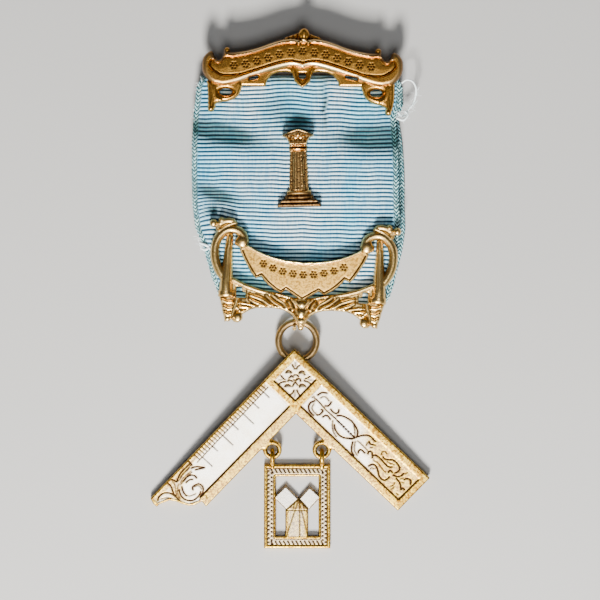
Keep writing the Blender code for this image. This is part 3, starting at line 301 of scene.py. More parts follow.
LEAF_LINES = (
    ((28.51, 0.31), (28.58, 0.77), (28.68, 1.25)),
    ((29.12, 1.54), (28.58, 1.78), (28.03, 2.28), (27.43, 3.11)),
    ((28.83, 2.29), (28.19, 2.69), (27.47, 3.15)),
    ((28.84, 0.76), (29.75, 0.74), (30.92, 0.72), (31.86, 0.93), (32.69, 1.27)),
    ((31.86, 2.13), (31.02, 2.08), (30.37, 2.23), (29.92, 2.56), (29.73, 3.02), (29.81, 3.47)),
    ((31.78, 2.69), (31.26, 2.70), (30.85, 2.82), (30.50, 3.12)),
    ((33.19, 0.35), (32.94, 0.87), (32.92, 1.24), (32.56, 1.27)),
    ((34.17, 0.26), (34.18, 1.04), (34.52, 1.75), (34.86, 2.46), (35.01, 3.37), (35.03, 4.02)),
    ((32.88, 2.67), (33.25, 3.21), (33.46, 3.79), (33.50, 4.33)),
    ((33.63, 2.68), (34.04, 3.32), (34.25, 4.03), (34.13, 4.82), (33.75, 5.47), (33.18, 5.94),
     (32.27, 6.09), (31.58, 6.01), (31.16, 5.79)),
    ((31.87, 4.51), (31.58, 4.15), (31.06, 4.16), (30.58, 4.34), (30.25, 4.66), (30.17, 5.22),
     (30.35, 5.70), (30.84, 6.12), (31.56, 6.30)),
    ((37.83, 1.22), (37.24, 0.91), (36.56, 0.90), (35.90, 1.16), (35.39, 1.69), (35.06, 2.39),
     (34.94, 2.91)),
)
LEAF_HAIRLINES = (
    ((29.31, 1.21), (30.09, 1.19), (31.00, 1.17), (31.85, 1.35), (32.24, 1.47)),
    ((29.58, 1.85), (30.68, 1.76), (31.72, 1.74), (32.51, 1.99)),
    ((29.72, 2.11), (30.69, 2.02), (31.80, 2.07), (32.65, 2.24)),
    ((28.91, 1.09), (29.76, 1.13), (30.67, 1.11), (31.71, 1.22)),
    ((33.33, 0.73), (33.50, 1.35), (33.94, 2.09), (34.45, 2.62), (34.75, 3.37), (34.70, 3.96)),
    ((33.50, 4.33), (33.13, 4.88), (32.45, 5.24), (32.06, 5.38)),
    ((31.26, 4.36), (30.72, 4.60), (30.56, 5.09), (30.70, 5.60)),
    ((37.26, 1.44), (36.73, 1.70), (36.16, 2.17), (35.78, 2.70)),
    ((34.02, 2.54), (34.42, 3.18), (34.56, 3.70)),
    ((30.92, 6.97), (31.13, 7.42)),
    ((32.90, 1.85), (33.56, 2.23), (33.89, 2.67)),
)
LEAF_BODY = ((30.0, 1.4), (31.8, 1.5), (33.3, 1.9), (34.6, 2.7), (35.0, 3.6), (35.0, 4.6))
SCROLL_LINES = (
    ((3.12, 8.98), (2.27, 9.19), (1.70, 9.92)),
    ((3.62, 11.38), (3.30, 11.71), (2.85, 11.78), (2.33, 11.66)),
    ((3.39, 12.55), (3.46, 13.14), (3.28, 13.73), (2.83, 13.93), (2.43, 13.68)),
    ((4.36, 9.28), (5.00, 9.00), (5.75, 9.16), (6.32, 9.89), (6.41, 10.99)),
    ((5.90, 11.39), (5.45, 11.73), (4.60, 11.68), (4.60, 11.29)),
    ((5.40, 12.45), (4.82, 12.65), (4.66, 13.01), (4.78, 13.76)),
    ((3.42, 14.24), (2.95, 14.68), (2.54, 15.56), (2.31, 16.87), (2.53, 18.10), (2.94, 19.00),
     (3.53, 19.45)),
    ((5.00, 14.99), (5.54, 15.76), (5.75, 16.86), (5.52, 17.91), (4.66, 19.12)),
    ((4.82, 18.77), (4.50, 19.23), (3.79, 19.57), (2.96, 20.04), (2.25, 20.64), (1.94, 21.37),
     (1.96, 22.15), (1.97, 22.67)),
    ((4.97, 19.68), (5.69, 20.12), (6.36, 20.75), (6.63, 21.53)),
    ((2.80, 21.80), (2.94, 22.32), (2.56, 22.98)),
    ((5.73, 21.81), (5.40, 21.62), (4.98, 21.73), (4.89, 22.15), (4.90, 22.67)),
    ((4.62, 23.22), (4.26, 23.08), (3.96, 23.17), (3.90, 23.58), (4.20, 23.94)),
    ((4.61, 24.30), (4.19, 24.16), (3.80, 24.42), (3.65, 25.04), (3.66, 25.82), (3.75, 26.79),
     (3.70, 27.64), (3.30, 28.14)),
    ((3.07, 25.64), (3.15, 26.09), (2.77, 26.75), (2.26, 27.28), (2.15, 27.93), (2.23, 28.78),
     (2.60, 29.46), (3.29, 29.54), (3.74, 29.33)),
    ((6.18, 24.92), (5.64, 25.04), (5.26, 25.44), (5.30, 26.11), (5.64, 26.82), (6.11, 27.53),
     (6.25, 28.30), (6.03, 28.85), (5.49, 29.10), (4.99, 29.08)),
    ((4.50, 28.41), (4.15, 28.32), (3.93, 28.50), (3.99, 28.94)),
    ((4.19, 29.39), (4.01, 29.98), (3.63, 30.38), (3.11, 30.52), (2.66, 30.59)),
    ((4.28, 30.23), (4.36, 30.95), (4.66, 31.69), (5.16, 32.23), (4.74, 32.33), (4.75, 32.80)),
    ((3.39, 31.42), (2.88, 31.69), (2.70, 32.41), (3.25, 32.90)),
)
SCROLL_HAIRLINES = (
    ((3.20, 9.69), (2.55, 9.97), (2.37, 10.56), (2.51, 11.20)),
    ((4.82, 9.59), (5.61, 9.84), (5.88, 10.61), (5.83, 11.07)),
    ((4.15, 8.57), (3.82, 8.64), (4.03, 9.09)),
    ((2.52, 17.58), (3.18, 18.48), (4.01, 19.22)),
    ((4.66, 14.28), (5.52, 14.98), (6.13, 15.94), (6.34, 16.78)),
    ((4.58, 19.94), (5.34, 20.49), (5.97, 21.15), (6.19, 21.99)),
    ((4.20, 20.21), (4.15, 20.93), (4.17, 21.97), (4.19, 22.88)),
    ((3.71, 21.92), (3.12, 21.73), (2.87, 21.87)),
    ((3.40, 22.77), (3.15, 23.03)),
    ((4.75, 24.82), (4.57, 25.67), (4.65, 26.52), (4.80, 27.42), (4.81, 27.94)),
    ((3.06, 25.12), (2.47, 24.93), (2.09, 25.20), (2.17, 25.79)),
    ((3.17, 26.87), (2.98, 27.46), (2.71, 28.09)),
    ((6.26, 25.51), (5.94, 25.58), (5.90, 25.93)),
    ((2.53, 30.85), (2.08, 30.93)),
    ((3.81, 30.80), (3.29, 31.07)),
    ((5.00, 30.54), (5.52, 30.66), (6.04, 30.52)),
    ((5.66, 31.05), (6.11, 30.97), (6.44, 30.90)),
    ((6.21, 32.21), (6.24, 32.62)),
    ((4.11, 31.34), (3.92, 31.80)),
)
SCROLL_STEM = ((3.90, 9.22), (3.93, 10.52), (4.09, 11.95), (4.01, 14.17), (4.02, 14.95))
SCROLL_SPINE = ((4.02, 14.95), (4.11, 19.11))
FLOWER_LINES = (
    ((4.20, 1.86), (3.73, 1.80), (3.49, 1.94), (3.43, 2.27), (3.53, 2.57)),
    ((2.61, 3.65), (2.20, 3.64), (1.85, 3.81), (1.82, 4.17)), ((2.01, 4.42), (2.06, 4.58)),
    ((6.19, 3.51), (5.75, 3.47), (5.44, 3.69), (5.42, 4.18)),
    ((4.41, 5.50), (4.08, 5.32), (3.69, 5.45), (3.50, 5.78), (3.58, 6.24)),
    ((3.52, 3.24), (3.23, 3.35), (3.07, 3.71), (3.17, 4.06)),
    ((4.53, 2.94), (4.16, 2.97), (3.87, 2.95), (3.87, 3.41)),
    ((3.63, 4.11), (3.40, 4.28), (3.24, 4.51), (3.46, 4.90)),
    ((5.12, 3.25), (4.85, 3.13), (4.60, 3.52), (4.53, 3.84)), ((4.18, 3.75), (4.04, 3.92)),
    ((4.12, 4.21), (3.87, 4.15), (3.63, 4.19)), ((5.17, 4.45), (4.31, 4.33), (4.36, 5.02)),
    ((2.31, 1.66), (2.45, 2.10), (2.56, 2.51)), ((1.49, 2.70), (1.84, 2.66), (2.36, 2.72)),
    ((5.20, 1.62), (5.29, 2.14), (5.26, 2.57)),
    ((6.62, 2.40), (6.14, 2.45), (5.72, 2.68), (5.48, 2.96)),
    ((1.64, 5.52), (2.04, 5.40), (2.52, 5.22)), ((2.91, 5.34), (2.61, 5.94), (2.51, 6.69)),
    ((5.51, 5.16), (5.97, 5.34), (6.42, 5.27), (6.69, 5.14)),
    ((5.13, 5.55), (5.33, 6.00), (5.42, 6.47)),
)
FLOWER_HAIRLINES = (
    ((1.66, 1.80), (2.05, 2.20)), ((6.02, 1.83), (5.78, 2.16)),
    ((2.32, 5.66), (1.96, 6.17)), ((5.71, 5.61), (6.27, 6.09)),
)
FLOWER_PETALS = (
    ((3.80, 1.98), (3.66, 2.20)), ((2.25, 3.80), (2.10, 3.98)),
    ((5.80, 3.62), (5.62, 3.85)), ((4.02, 5.50), (3.80, 5.75)),
)
SCRATCH = ((7.9, 10.3), (8.9, 9.2), (9.6, 8.9))
# Each cut's lines, steps that smooth them, half width, depth and darkness
ENGRAVING = (
    (BORDER_LINES, 1, 0.14, 0.10, 1.0),
    ((EDGE_LINE,), 1, 0.08, 0.05, 0.9),
    ((SCRATCH,), 1, 0.08, 0.03, 0.6),
    (LEAF_LINES, 3, 0.14, 0.08, 1.0),
    (LEAF_HAIRLINES, 3, 0.11, 0.05, 0.75),
    (SCROLL_LINES, 4, 0.15, 0.08, 1.0),
    (SCROLL_HAIRLINES, 4, 0.13, 0.05, 0.75),
    ((SCROLL_STEM,), 1, 0.12, 0.08, 0.95),
    (FLOWER_LINES, 3, 0.13, 0.09, 0.9),
    (FLOWER_HAIRLINES, 1, 0.13, 0.04, 0.5),
    (FLOWER_PETALS, 1, 0.24, 0.06, 0.62),
)

# Hung plate, from the middle of its top edge
PLATE_WIDTH = 12.3
PLATE_HEIGHT = 15.5
PLATE_THICKNESS = 1.2
PLATE_OPENING = ((-3.95, -13.3), (3.95, -13.3), (3.95, -2.2), (-3.95, -2.2))
FIGURE = (
    ((-2.12, -3.86), (0.34, -6.35), (-2.02, -8.37), (-4.4, -6.07)),
    ((2.30, -4.05), (4.4, -5.98), (2.21, -8.37), (0.30, -6.26)),
    ((-2.21, -13.6), (2.02, -13.6), (2.02, -8.30), (0.28, -6.30), (-2.21, -8.30)),
)
FIGURE_LINES = (
    ((0.28, -6.35), (-2.02, -13.25)), ((0.28, -6.35), (2.02, -13.25)), ((0.46, -6.4), (0.46, -13.3)),
    ((-2.21, -8.42), (2.02, -8.42)), ((-2.02, -8.37), (0.28, -6.35), (2.21, -8.37)),
    ((-0.55, -7.2), (-0.75, -8.3)), ((1.0, -7.1), (1.35, -8.3)),
)
LOOP_WIRE = 0.8
LOOP_RADIUS = 1.25

# Ribbon. The front layer's edges are shares of its width, at these shares of the way down.
RIBBON_WIDTH = 38.0
RIBBON_REACH = 38.3
RIBBON_X = -1.3
CLOTH = 0.4
# Its height above the surface, and the steps along its front and back
RIBBON_LIFT = 0.15
FRONT_STEP = 0.125
BACK_STEP = 0.19
RIB_PITCH = 0.75
RIB_HEIGHT = 0.13
SELVEDGE = 0.95
CHEVRON_PITCH = 0.66
CHEVRON_SLANT = 1.3
RIBBON_DOWN = (
    0.00, 0.06, 0.13, 0.19, 0.30, 0.45, 0.58, 0.68, 0.76, 0.84, 0.91, 0.96, 1.00,
)
RIBBON_LEFT = (
    -0.450, -0.478, -0.486, -0.494, -0.500, -0.501, -0.498, -0.484, -0.448, -0.424, -0.404, -0.380, -0.370,
)
RIBBON_RIGHT = (
    0.492, 0.517, 0.512, 0.484, 0.496, 0.500, 0.501, 0.508, 0.500, 0.484, 0.470, 0.456, 0.428,
)
# Swells and dents of the front layer: place and half sizes in millimetres, and height. Each dent is also
# painted darker as shade, and the dent above the pillar also paints the pillar's shadow.
RIBBON_FOLDS = (
    {"x": 0.0, "y": -19.0, "wide": 30.0, "high": 9.0, "rise": 0.34},
    {"x": -15.2, "y": -8.9, "wide": 7.0, "high": 1.9, "lean": -0.20, "rise": -0.50},
    {"x": 13.8, "y": -9.9, "wide": 7.0, "high": 2.3, "lean": 0.0, "rise": -0.50},
    {"x": -15.5, "y": -12.6, "wide": 7.0, "high": 1.8, "rise": 0.25},
    {"x": 13.0, "y": -14.4, "wide": 7.0, "high": 2.2, "rise": 0.20},
    {"x": -15.8, "y": -20.3, "wide": 3.8, "high": 1.4, "lean": -0.30, "rise": -0.42},
    {"x": -16.4, "y": -23.2, "wide": 1.3, "high": 1.1, "rise": -0.34},
    {"x": 4.0, "y": -3.2, "wide": 0.35, "high": 5.2, "rise": -0.40},
    {"x": 4.9, "y": -3.2, "wide": 0.50, "high": 5.0, "rise": 0.20},
    {"x": -4.5, "y": -4.0, "wide": 3.0, "high": 2.6, "rise": -0.14},
    {"x": -0.5, "y": -6.6, "wide": 2.9, "high": 1.5, "rise": -0.36},
)

# The frayed threads' radius and line, and how many loose fibres stand along each line of fuzz
THREADS = {
    "thread_loop": (0.16, (
        (18.3, 0.2, 3.6), (19.2, 0.75, 3.9), (20.3, 0.4, 4.1), (20.95, -1.0, 3.6), (20.6, -3.2, 2.9),
        (19.6, -4.6, 2.6), (18.5, -5.9, 2.8), (17.6, -5.2, 3.4),
    )),
    "thread_tuft": (0.22, ((17.4, -6.2, 3.2), (18.6, -6.6, 3.3), (19.4, -5.6, 3.0), (18.9, -4.9, 2.8))),
    "thread_binding": (0.24, ((-18.9, -29.2, 3.2), (-17.9, -29.6, 3.75), (-17.3, -29.9, 3.5))),
    "thread_end": (0.20, ((-18.7, -30.2, 3.0), (-17.8, -30.5, 3.7), (-17.2, -30.1, 3.5))),
}
FUZZ = {
    "fuzz_right": (46, (
        (17.4, -5.6, 3.3), (18.4, -6.2, 3.2), (19.4, -5.2, 2.9), (20.4, -3.4, 3.0), (20.9, -1.2, 3.5),
    )),
    "fuzz_top_left": (60, ((-18.4, 0.2, 3.3), (-18.9, -1.4, 3.2), (-19.4, -4.0, 3.1), (-19.9, -6.4, 3.0))),
    "fuzz_low_left": (26, ((-19.0, -28.0, 3.2), (-18.6, -29.8, 3.3), (-18.0, -31.0, 3.2))),
}

# Gilding: its two golds, the brown of tarnished hollows that also paints shade and dark reflections, a
# burnished gold that also paints highlights and glare, and how much of each finish it has
GILT_TONE = 0.80
GILTS = {
    # The orange gilt's paler gold is the painted highlight along the brooch bar's rim
    "orange gilt": {
        "bright": (0.78, 0.39, 0.070), "deep": (0.54, 0.23, 0.032), "dark": (0.030, 0.010, 0.003),
        "burnish_and_highlight": (1.0, 0.76, 0.40), "rough": 0.27, "grain": 0.15, "mottle": 0.5,
    },
    "pale gilt": {
        "bright": (0.95, 0.66, 0.24), "deep": (0.70, 0.41, 0.12), "dark": (0.040, 0.015, 0.005),
        "burnish_and_highlight": (0.94, 0.54, 0.10), "rough": 0.28, "grain": 0.25, "shine": -0.06, "dusty": 0.75,
    },
    "coppery gilt": {
        "bright": (0.90, 0.55, 0.20), "deep": (0.60, 0.31, 0.085), "dark": (0.040, 0.014, 0.005),
        "rough": 0.27, "grain": 0.3,
    },
    # This gilt's near-white burnished gold is partly real burnish and partly painted glare
    "polished gilt": {
        "bright": (0.93, 0.63, 0.100), "deep": (0.60, 0.34, 0.040), "dark": (0.030, 0.012, 0.005),
        "burnish_and_highlight": (1.0, 0.945, 0.83), "rough": 0.36, "grain": 0.5, "mottle": 0.8, "sand": 0.9,
        "shine": 0.06,
    },
    "toned brass": {
        "bright": (0.50, 0.33, 0.14), "deep": (0.28, 0.17, 0.06), "dark": (0.05, 0.025, 0.01),
        "rough": 0.34, "grain": 0.4,
    },
}

# Lights, in degrees, metres and watts, and the floor's half width in metres
KEY_ANGLE = 40.0
KEY_DISTANCE = 0.55
KEY_POWER = 13.8
OVERHEAD_POWER = 1.88
SKY_STRENGTH = 0.31
FLOOR_HALF = 1.5

# Camera: its sensor and lens, and the middle, height and width of what it sees
SENSOR = 36.0
LENS = 150.0
VIEW_MIDDLE = (1.84, -1.97)
VIEW_HEIGHT = 4.0
VIEW_WIDTH = 110.4


def smooth_run(points, steps=4):
    """A smooth run through the points, as a Catmull-Rom curve."""
    ends = [points[0]] + list(points) + [points[-1]]
    run = []
    for before, start, end, after in zip(ends, ends[1:], ends[2:], ends[3:]):
        for step in range(steps):
            t = step / steps
            spot = []
            for a, b, c, d in zip(before, start, end, after):
                bend = t**2 * (a - 2.5 * b + 2 * c - d / 2) + t**3 * (1.5 * (b - c) + (d - a) / 2)
                spot.append(b + t * (c - a) / 2 + bend)
            run.append(tuple(spot))
    return run + [tuple(points[-1])]


def mirrored(points):
    """The right half's points and the same points on the left, as one closed outline."""
    return list(points) + [(-x, y) for x, y in reversed(points) if abs(x) > 1e-9]


def scaled(points, size):
    """Shares of a size, as millimetres."""
    return [(x * size, y * size) for x, y in points]


def eased(share):
    """From 0 to 1, with a soft start and end."""
    share = np.clip(share, 0.0, 1.0)
    return share * share * (3.0 - 2.0 * share)


def edge_share(depth, slope):
    """From 0 outside an outline to 1 inside it, over a slope of this width."""
    return eased(depth / slope + 0.5)


def dome(reach):
    """The height of a half round at this share of its radius."""
    return np.sqrt(np.clip(1 - reach**2, 0, 1))


def bell(away, half):
    """1 where the distance is nought, fading over about this much."""
    return np.exp(-((away / half) ** 2))


def swelling(x, y, wide, high):
    """A round swell of height 1 that fades over these half sizes."""
    return np.exp(-((x / wide) ** 2) - (y / high) ** 2)


def pillow(depth, low, top, reach):
    """A rounded section: low at the outline, and top from this far inside."""
    return low + (top - low) * dome(1 - np.clip(depth / reach, 0, 1))


def oval_reach(x, y, oval):
    """How far out each place is, as a share of an oval's radius."""
    return np.hypot((x - oval["x"]) / oval["wide"], (y - oval["y"]) / oval["high"])


def from_segment(x, y, start, end):
    """Distance to a straight line, and how far along it the nearest point is."""
    dx, dy = end[0] - start[0], end[1] - start[1]
    x, y = x - start[0], y - start[1]
    share = np.clip((x * dx + y * dy) / (dx * dx + dy * dy + 1e-12), 0, 1)
    return np.hypot(x - share * dx, y - share * dy), share


def to_line(x, y, points):
    """Distance from each place to the nearest point of a line."""
    nearest = np.full(np.shape(x), -OUTSIDE)
    for start, end in zip(points, points[1:]):
        nearest = np.minimum(nearest, from_segment(x, y, start, end)[0])
    return nearest


def within(x, y, points):
    """Distance inside an outline, negative outside it."""
    ring = list(points) + [points[0]]
    inside = np.zeros(np.shape(x), bool)
    for (ax, ay), (bx, by) in zip(ring, ring[1:]):
        if ay != by:
            inside ^= ((ay > y) != (by > y)) & (x < (bx - ax) * (y - ay) / (by - ay) + ax)
    away = to_line(x, y, ring)
    return np.where(inside, away, -away)


def stroke(x, y, points, halves):
    """Depth inside a tapered stroke, and its half-round height from 0 to 1."""
    depth, crown = np.full(np.shape(x), OUTSIDE), np.zeros(np.shape(x))
    halves = np.broadcast_to(halves, len(points))
    for start, end, first, last in zip(points, points[1:], halves, halves[1:]):
        away, share = from_segment(x, y, start, end)
        half = first + (last - first) * share
        depth = np.maximum(depth, half - away)
        crown = np.maximum(crown, dome(away / half))
    return depth, crown


def leaf_halves(count, half):
    """Half widths of a leaf along its points, pointed at both ends."""
    return [half * (0.35 + 0.65 * math.sin(math.pi * (i + 0.6) / (count + 0.2))) for i in range(count)]


def soft_union(first, second, reach):
    """Joins two depths with a rounded inner corner, as solder fills it."""
    share = np.clip(0.5 + 0.5 * (first - second) / reach, 0, 1)
    return second + (first - second) * share + reach * share * (1 - share)


def blurred(heights, cells):
    """Heights smoothed over this many grid cells each way."""
    kernel = np.exp(-np.linspace(-2, 2, 2 * cells + 1) ** 2)
    kernel /= kernel.sum()
    across = np.apply_along_axis(np.convolve, 0, heights, kernel, "same")
    return np.apply_along_axis(np.convolve, 1, across, kernel, "same")


class Relief:
    """A cast or engraved face: heights on a grid, its outline, where it is darkened by tarnished hollows and
    by painted shade and dark reflections, and where it is burnished, also as painted highlights and glare.

    Outlines and lines are drawn in u and v, which are x and y unless a piece sets its own.
    """

    def __init__(self, low, high, base, step=GRID):
        self.x, self.y = np.meshgrid(np.arange(low[0], high[0], step), np.arange(low[1], high[1], step))
        self.u, self.v = self.x, self.y
        self.step = step
        self.height = np.full(self.x.shape, float(base))
        self.edge = np.full(self.x.shape, OUTSIDE)
        self.stain_and_shade = np.zeros(self.x.shape)
        self.polish_and_highlight = np.zeros(self.x.shape)

    def within(self, points):
        return within(self.u, self.v, points)

    def cover(self, depth):
        self.edge = np.maximum(self.edge, depth)

    def pierce(self, depth):
        self.edge = np.minimum(self.edge, -depth)

    def raise_to(self, depth, top, slope=0.2):
        share = edge_share(depth, slope)
        self.height = np.maximum(self.height, self.height + (top - self.height) * share)

    def sink_to(self, depth, floor, slope=0.2):
        self.height += (floor - self.height) * edge_share(depth, slope)

    def add_stain_and_shade(self, amount):
        self.stain_and_shade = np.maximum(self.stain_and_shade, amount)

    def shine(self, amount):
        self.polish_and_highlight = np.maximum(self.polish_and_highlight, amount)

    def dull(self, amount):
        self.polish_and_highlight *= 1 - amount

    def engrave(self, away, half, deep, dark=1.0):
        """Cuts a groove where this distance is nought, and darkens it."""
        cut = bell(away, half)
        self.height -= deep * cut
        self.add_stain_and_shade(dark * np.minimum(1.8 * cut, 1.0))
        self.dull(0.7 * dark * bell(away, 2.1 * half))

    def cut_line(self, points, half, deep, dark=1.0):
        self.engrave(to_line(self.u, self.v, points), half, deep, dark)

    def cut_lines(self, lines, steps, half, deep, dark=1.0):
        """Engraves each of the lines, smoothed in this many steps."""
        for line in lines:
            self.cut_line(smooth_run(line, steps), half, deep, dark)

    def ridge(self, points, halves, low, rise, slope=0.14):
        """Lays a half-round ridge along a line and returns the depth inside it."""
        depth, crown = stroke(self.u, self.v, points, halves)
        self.raise_to(depth, low + rise * crown, slope)
        return depth

    def boss(self, spot, top, drop):
        """A domed knob of this height, on its own round outline: x, y and radius."""
        reach = np.hypot(self.x - spot[0], self.y - spot[1]) / spot[2]
        self.raise_to((1 - reach) * spot[2], top - drop * (1 - dome(reach)), 0.14)
        self.cover((1 - reach) * spot[2])

    def bosses(self, spot, top, drop):
        """The same knob on the left and on the right."""
        for side in (-1, 1):
            self.boss((side * spot[0], *spot[1:]), top, drop)

    def darken_hollows(self, back, amount):
        ground = np.where(self.edge > 0, self.height, back)
        hollow = (blurred(ground, max(2, int(HOLLOW_REACH / self.step))) - ground) / RECESS
        self.add_stain_and_shade(amount * np.clip(hollow, 0, 1))


# Corners of a grid cell that is cut by an outline, for each of the cases of corners inside it
CELL_CASES = {
    1: (0, 4, 7), 2: (1, 5, 4), 3: (0, 1, 5, 7), 4: (2, 6, 5), 5: (0, 4, 5, 2, 6, 7), 6: (1, 2, 6, 4),
    7: (0, 1, 2, 6, 7), 8: (3, 7, 6), 9: (0, 4, 6, 3), 10: (1, 5, 6, 3, 7, 4), 11: (0, 1, 5, 6, 3),
    12: (2, 3, 7, 5), 13: (0, 4, 5, 2, 3), 14: (1, 2, 3, 7, 4), 15: (0, 1, 2, 3),
}


def outlined(edge):
    """Cuts the grid along its outline: polygons, and the two grid points and share of each corner."""
    rows, columns = edge.shape
    count = rows * columns
    number = np.arange(count).reshape(rows, columns)
    low_left, low_right = number[:-1, :-1], number[:-1, 1:]
    high_left, high_right = number[1:, :-1], number[1:, 1:]
    slots = [low_left, low_right, high_right, high_left]
    slots += [count + low_left, 2 * count + low_right, count + high_left, 2 * count + low_left]
    inside = (edge > 0).astype(int)
    case = inside[:-1, :-1] + 2 * inside[:-1, 1:] + 4 * inside[1:, 1:] + 8 * inside[1:, :-1]
    polygons = []
    for key, corners in CELL_CASES.items():
        here = case == key
        if here.any():
            polygons.append(np.stack([slots[corner][here] for corner in corners], axis=1))
    used = np.unique(np.concatenate([p.ravel() for p in polygons]))
    polygons = [np.searchsorted(used, p) for p in polygons]
    first = used % count
    second = np.where(used >= 2 * count, first + columns, np.where(used >= count, first + 1, first))
    flat = edge.ravel()
    gap = flat[first] - flat[second]
    share = np.clip(flat[first] / np.where(gap == 0, 1, gap), LEAST_SHARE, 1 - LEAST_SHARE)
    share[used < count] = 0.0
    return polygons, first, second, share


def add_object(name, data):
    made = bpy.data.objects.new(name, data)
    bpy.context.collection.objects.link(made)
    return made


def mesh_object(name, points, edges, faces, marks=None):
    """A mesh from its points in metres, with a named value for each point."""
    mesh = bpy.data.meshes.new(name)
    mesh.from_pydata(points, edges, faces)
    for label, values in (marks or {}).items():
        mesh.attributes.new(label, "FLOAT", "POINT").data.foreach_set("value", values)
    return add_object(name, mesh)


def smooth_shaded(made, crease):
    """Shades a mesh smooth, apart from edges that bend more than the crease, in degrees."""
    made.data.shade_smooth()
    made.data.set_sharp_from_angle(angle=math.radians(crease))
    return made


def cast(name, form, back, kept=0.45):
    """The closed mesh of a relief: its face, a flat back and the wall between.

    Its edges are rounded, and this share of the thickness is kept at the outline.
    """
    polygons, first, second, share = outlined(form.edge)
    rounding = pillow(form.edge, 0, 1, SOFT_EDGE)
    height = back + (form.height - back) * (kept + (1 - kept) * rounding)

    def at(values):
        flat = values.ravel()
        return flat[first] * (1 - share) + flat[second] * share

    face = np.stack([at(form.x), at(form.y), np.maximum(at(height), back + THINNEST)], axis=1)
    under = face.copy()
    under[:, 2] = back
    count = len(face)
    steps = np.concatenate([np.stack([p, np.roll(p, -1, axis=1)], axis=2).reshape(-1, 2) for p in polygons])
    key, turned = steps[:, 0] * count + steps[:, 1], steps[:, 1] * count + steps[:, 0]
    rim = steps[~np.isin(key, turned)]
    faces = np.stack([rim[:, 0], rim[:, 0] + count, rim[:, 1] + count, rim[:, 1]], axis=1).tolist()
    for p in polygons:
        faces += p.tolist()
        faces += (p[:, ::-1] + count).tolist()
    marks = {"stain_and_shade": at(form.stain_and_shade), "polish_and_highlight": at(form.polish_and_highlight)}
    marks = {label: np.concatenate([values, values * 0]) for label, values in marks.items()}
    points = (np.concatenate([face, under]) * MM).tolist()
    return smooth_shaded(mesh_object(name, points, [], faces, marks), CAST_CREASE)


def plain_mesh(made):
    """Turns an object's curve or modifiers into its plain mesh, in place."""
    bpy.context.view_layer.update()
    depsgraph = bpy.context.evaluated_depsgraph_get()
    mesh = bpy.data.meshes.new_from_object(made.evaluated_get(depsgraph), depsgraph=depsgraph)
    name = made.name
    bpy.data.objects.remove(made)
    return add_object(name, mesh)


def wire(name, points, radius, closed=False, sides=12):
    """A round wire along the points, in millimetres."""
    curve = bpy.data.curves.new(name, "CURVE")
    curve.dimensions = "3D"
    curve.bevel_depth = radius * MM
    curve.bevel_resolution = max(1, sides // 4)
    curve.use_fill_caps = not closed
    line = curve.splines.new("POLY")
    line.points.add(len(points) - 1)
    line.use_cyclic_u = closed
    for spot, place in zip(line.points, points):
        spot.co = (*(Vector(place) * MM), 1.0)
    return smooth_shaded(plain_mesh(add_object(name, curve)), WIRE_CREASE)


def circle(centre, radius, axis, steps):
    """Points round a circle whose hole points along X or Z."""
    spots = []
    for step in range(steps):
        a = 2 * math.pi * step / steps
        out, up = radius * math.cos(a), radius * math.sin(a)
        shift = (0, out, up) if axis == "X" else (out, up, 0)
        spots.append([middle + by for middle, by in zip(centre, shift)])
    return spots


def joined(name, pieces):
    """One piece from several meshes, keeping their attributes."""
    with bpy.context.temp_override(active_object=pieces[0], selected_editable_objects=pieces):
        bpy.ops.object.join()
    pieces[0].name = name
    pieces[0].data.name = name
    return pieces[0]


# Node trees


class Output:
    """A node's output. Sums on it are written as sums, and each adds its own node."""

    def __init__(self, tree, socket):
        self.tree = tree
        self.socket = socket

    def calc(self, operation, *others):
        return node(self.tree, "ShaderNodeMath", dict(enumerate((self, *others))), operation=operation)

    def __add__(self, other):
        return self.calc("ADD", other)

    def __sub__(self, other):
        return self.calc("SUBTRACT", other)

    def __rsub__(self, other):
        return node(self.tree, "ShaderNodeMath", {0: other, 1: self}, operation="SUBTRACT")

    def __mul__(self, other):
        return self.calc("MULTIPLY", other)

    def __truediv__(self, other):
        return self.calc("DIVIDE", other)


def put(socket, value):
    """Links a socket to a node's output, or sets its value. A colour needs no alpha."""
    if isinstance(value, Output):
        value.tree.links.new(value.socket, socket)
    else:
        socket.default_value = (*value[:3], 1.0) if socket.type == "RGBA" else value


def node(tree, kind, values=None, output=0, **settings):
    """Adds a node with these inputs and settings, and returns one of its outputs."""
    made = tree.nodes.new(kind)
    for key, value in settings.items():
        setattr(made, key, value)
    for key, value in (values or {}).items():
        put(made.inputs[key], value)
    return Output(tree, made.outputs[output])


def vector(tree, x, y, z):
    return node(tree, "ShaderNodeCombineXYZ", {"X": x, "Y": y, "Z": z})


def stretched(value, by):
    """A vector or a colour times another, part by part."""
    return node(value.tree, "ShaderNodeVectorMath", {0: value, 1: by}, operation="MULTIPLY")


def ramp(value, low, high, start=0.0, end=1.0, kind="LINEAR"):
    """From start, where the value is low, to end, where it is high."""
    ends = {"Value": value, "From Min": low, "From Max": high, "To Min": start, "To Max": end}
    return node(value.tree, "ShaderNodeMapRange", ends, interpolation_type=kind)


def mixed(share, first, second):
    """A colour this far from the first to the second."""
    return node(share.tree, "ShaderNodeMix", {0: share, 6: first, 7: second}, 2, data_type="RGBA")


def noise(place, scale, detail):
    return node(place.tree, "ShaderNodeTexNoise", {"Vector": place, "Scale": scale, "Detail": detail}, "Fac")


# Geometry Nodes


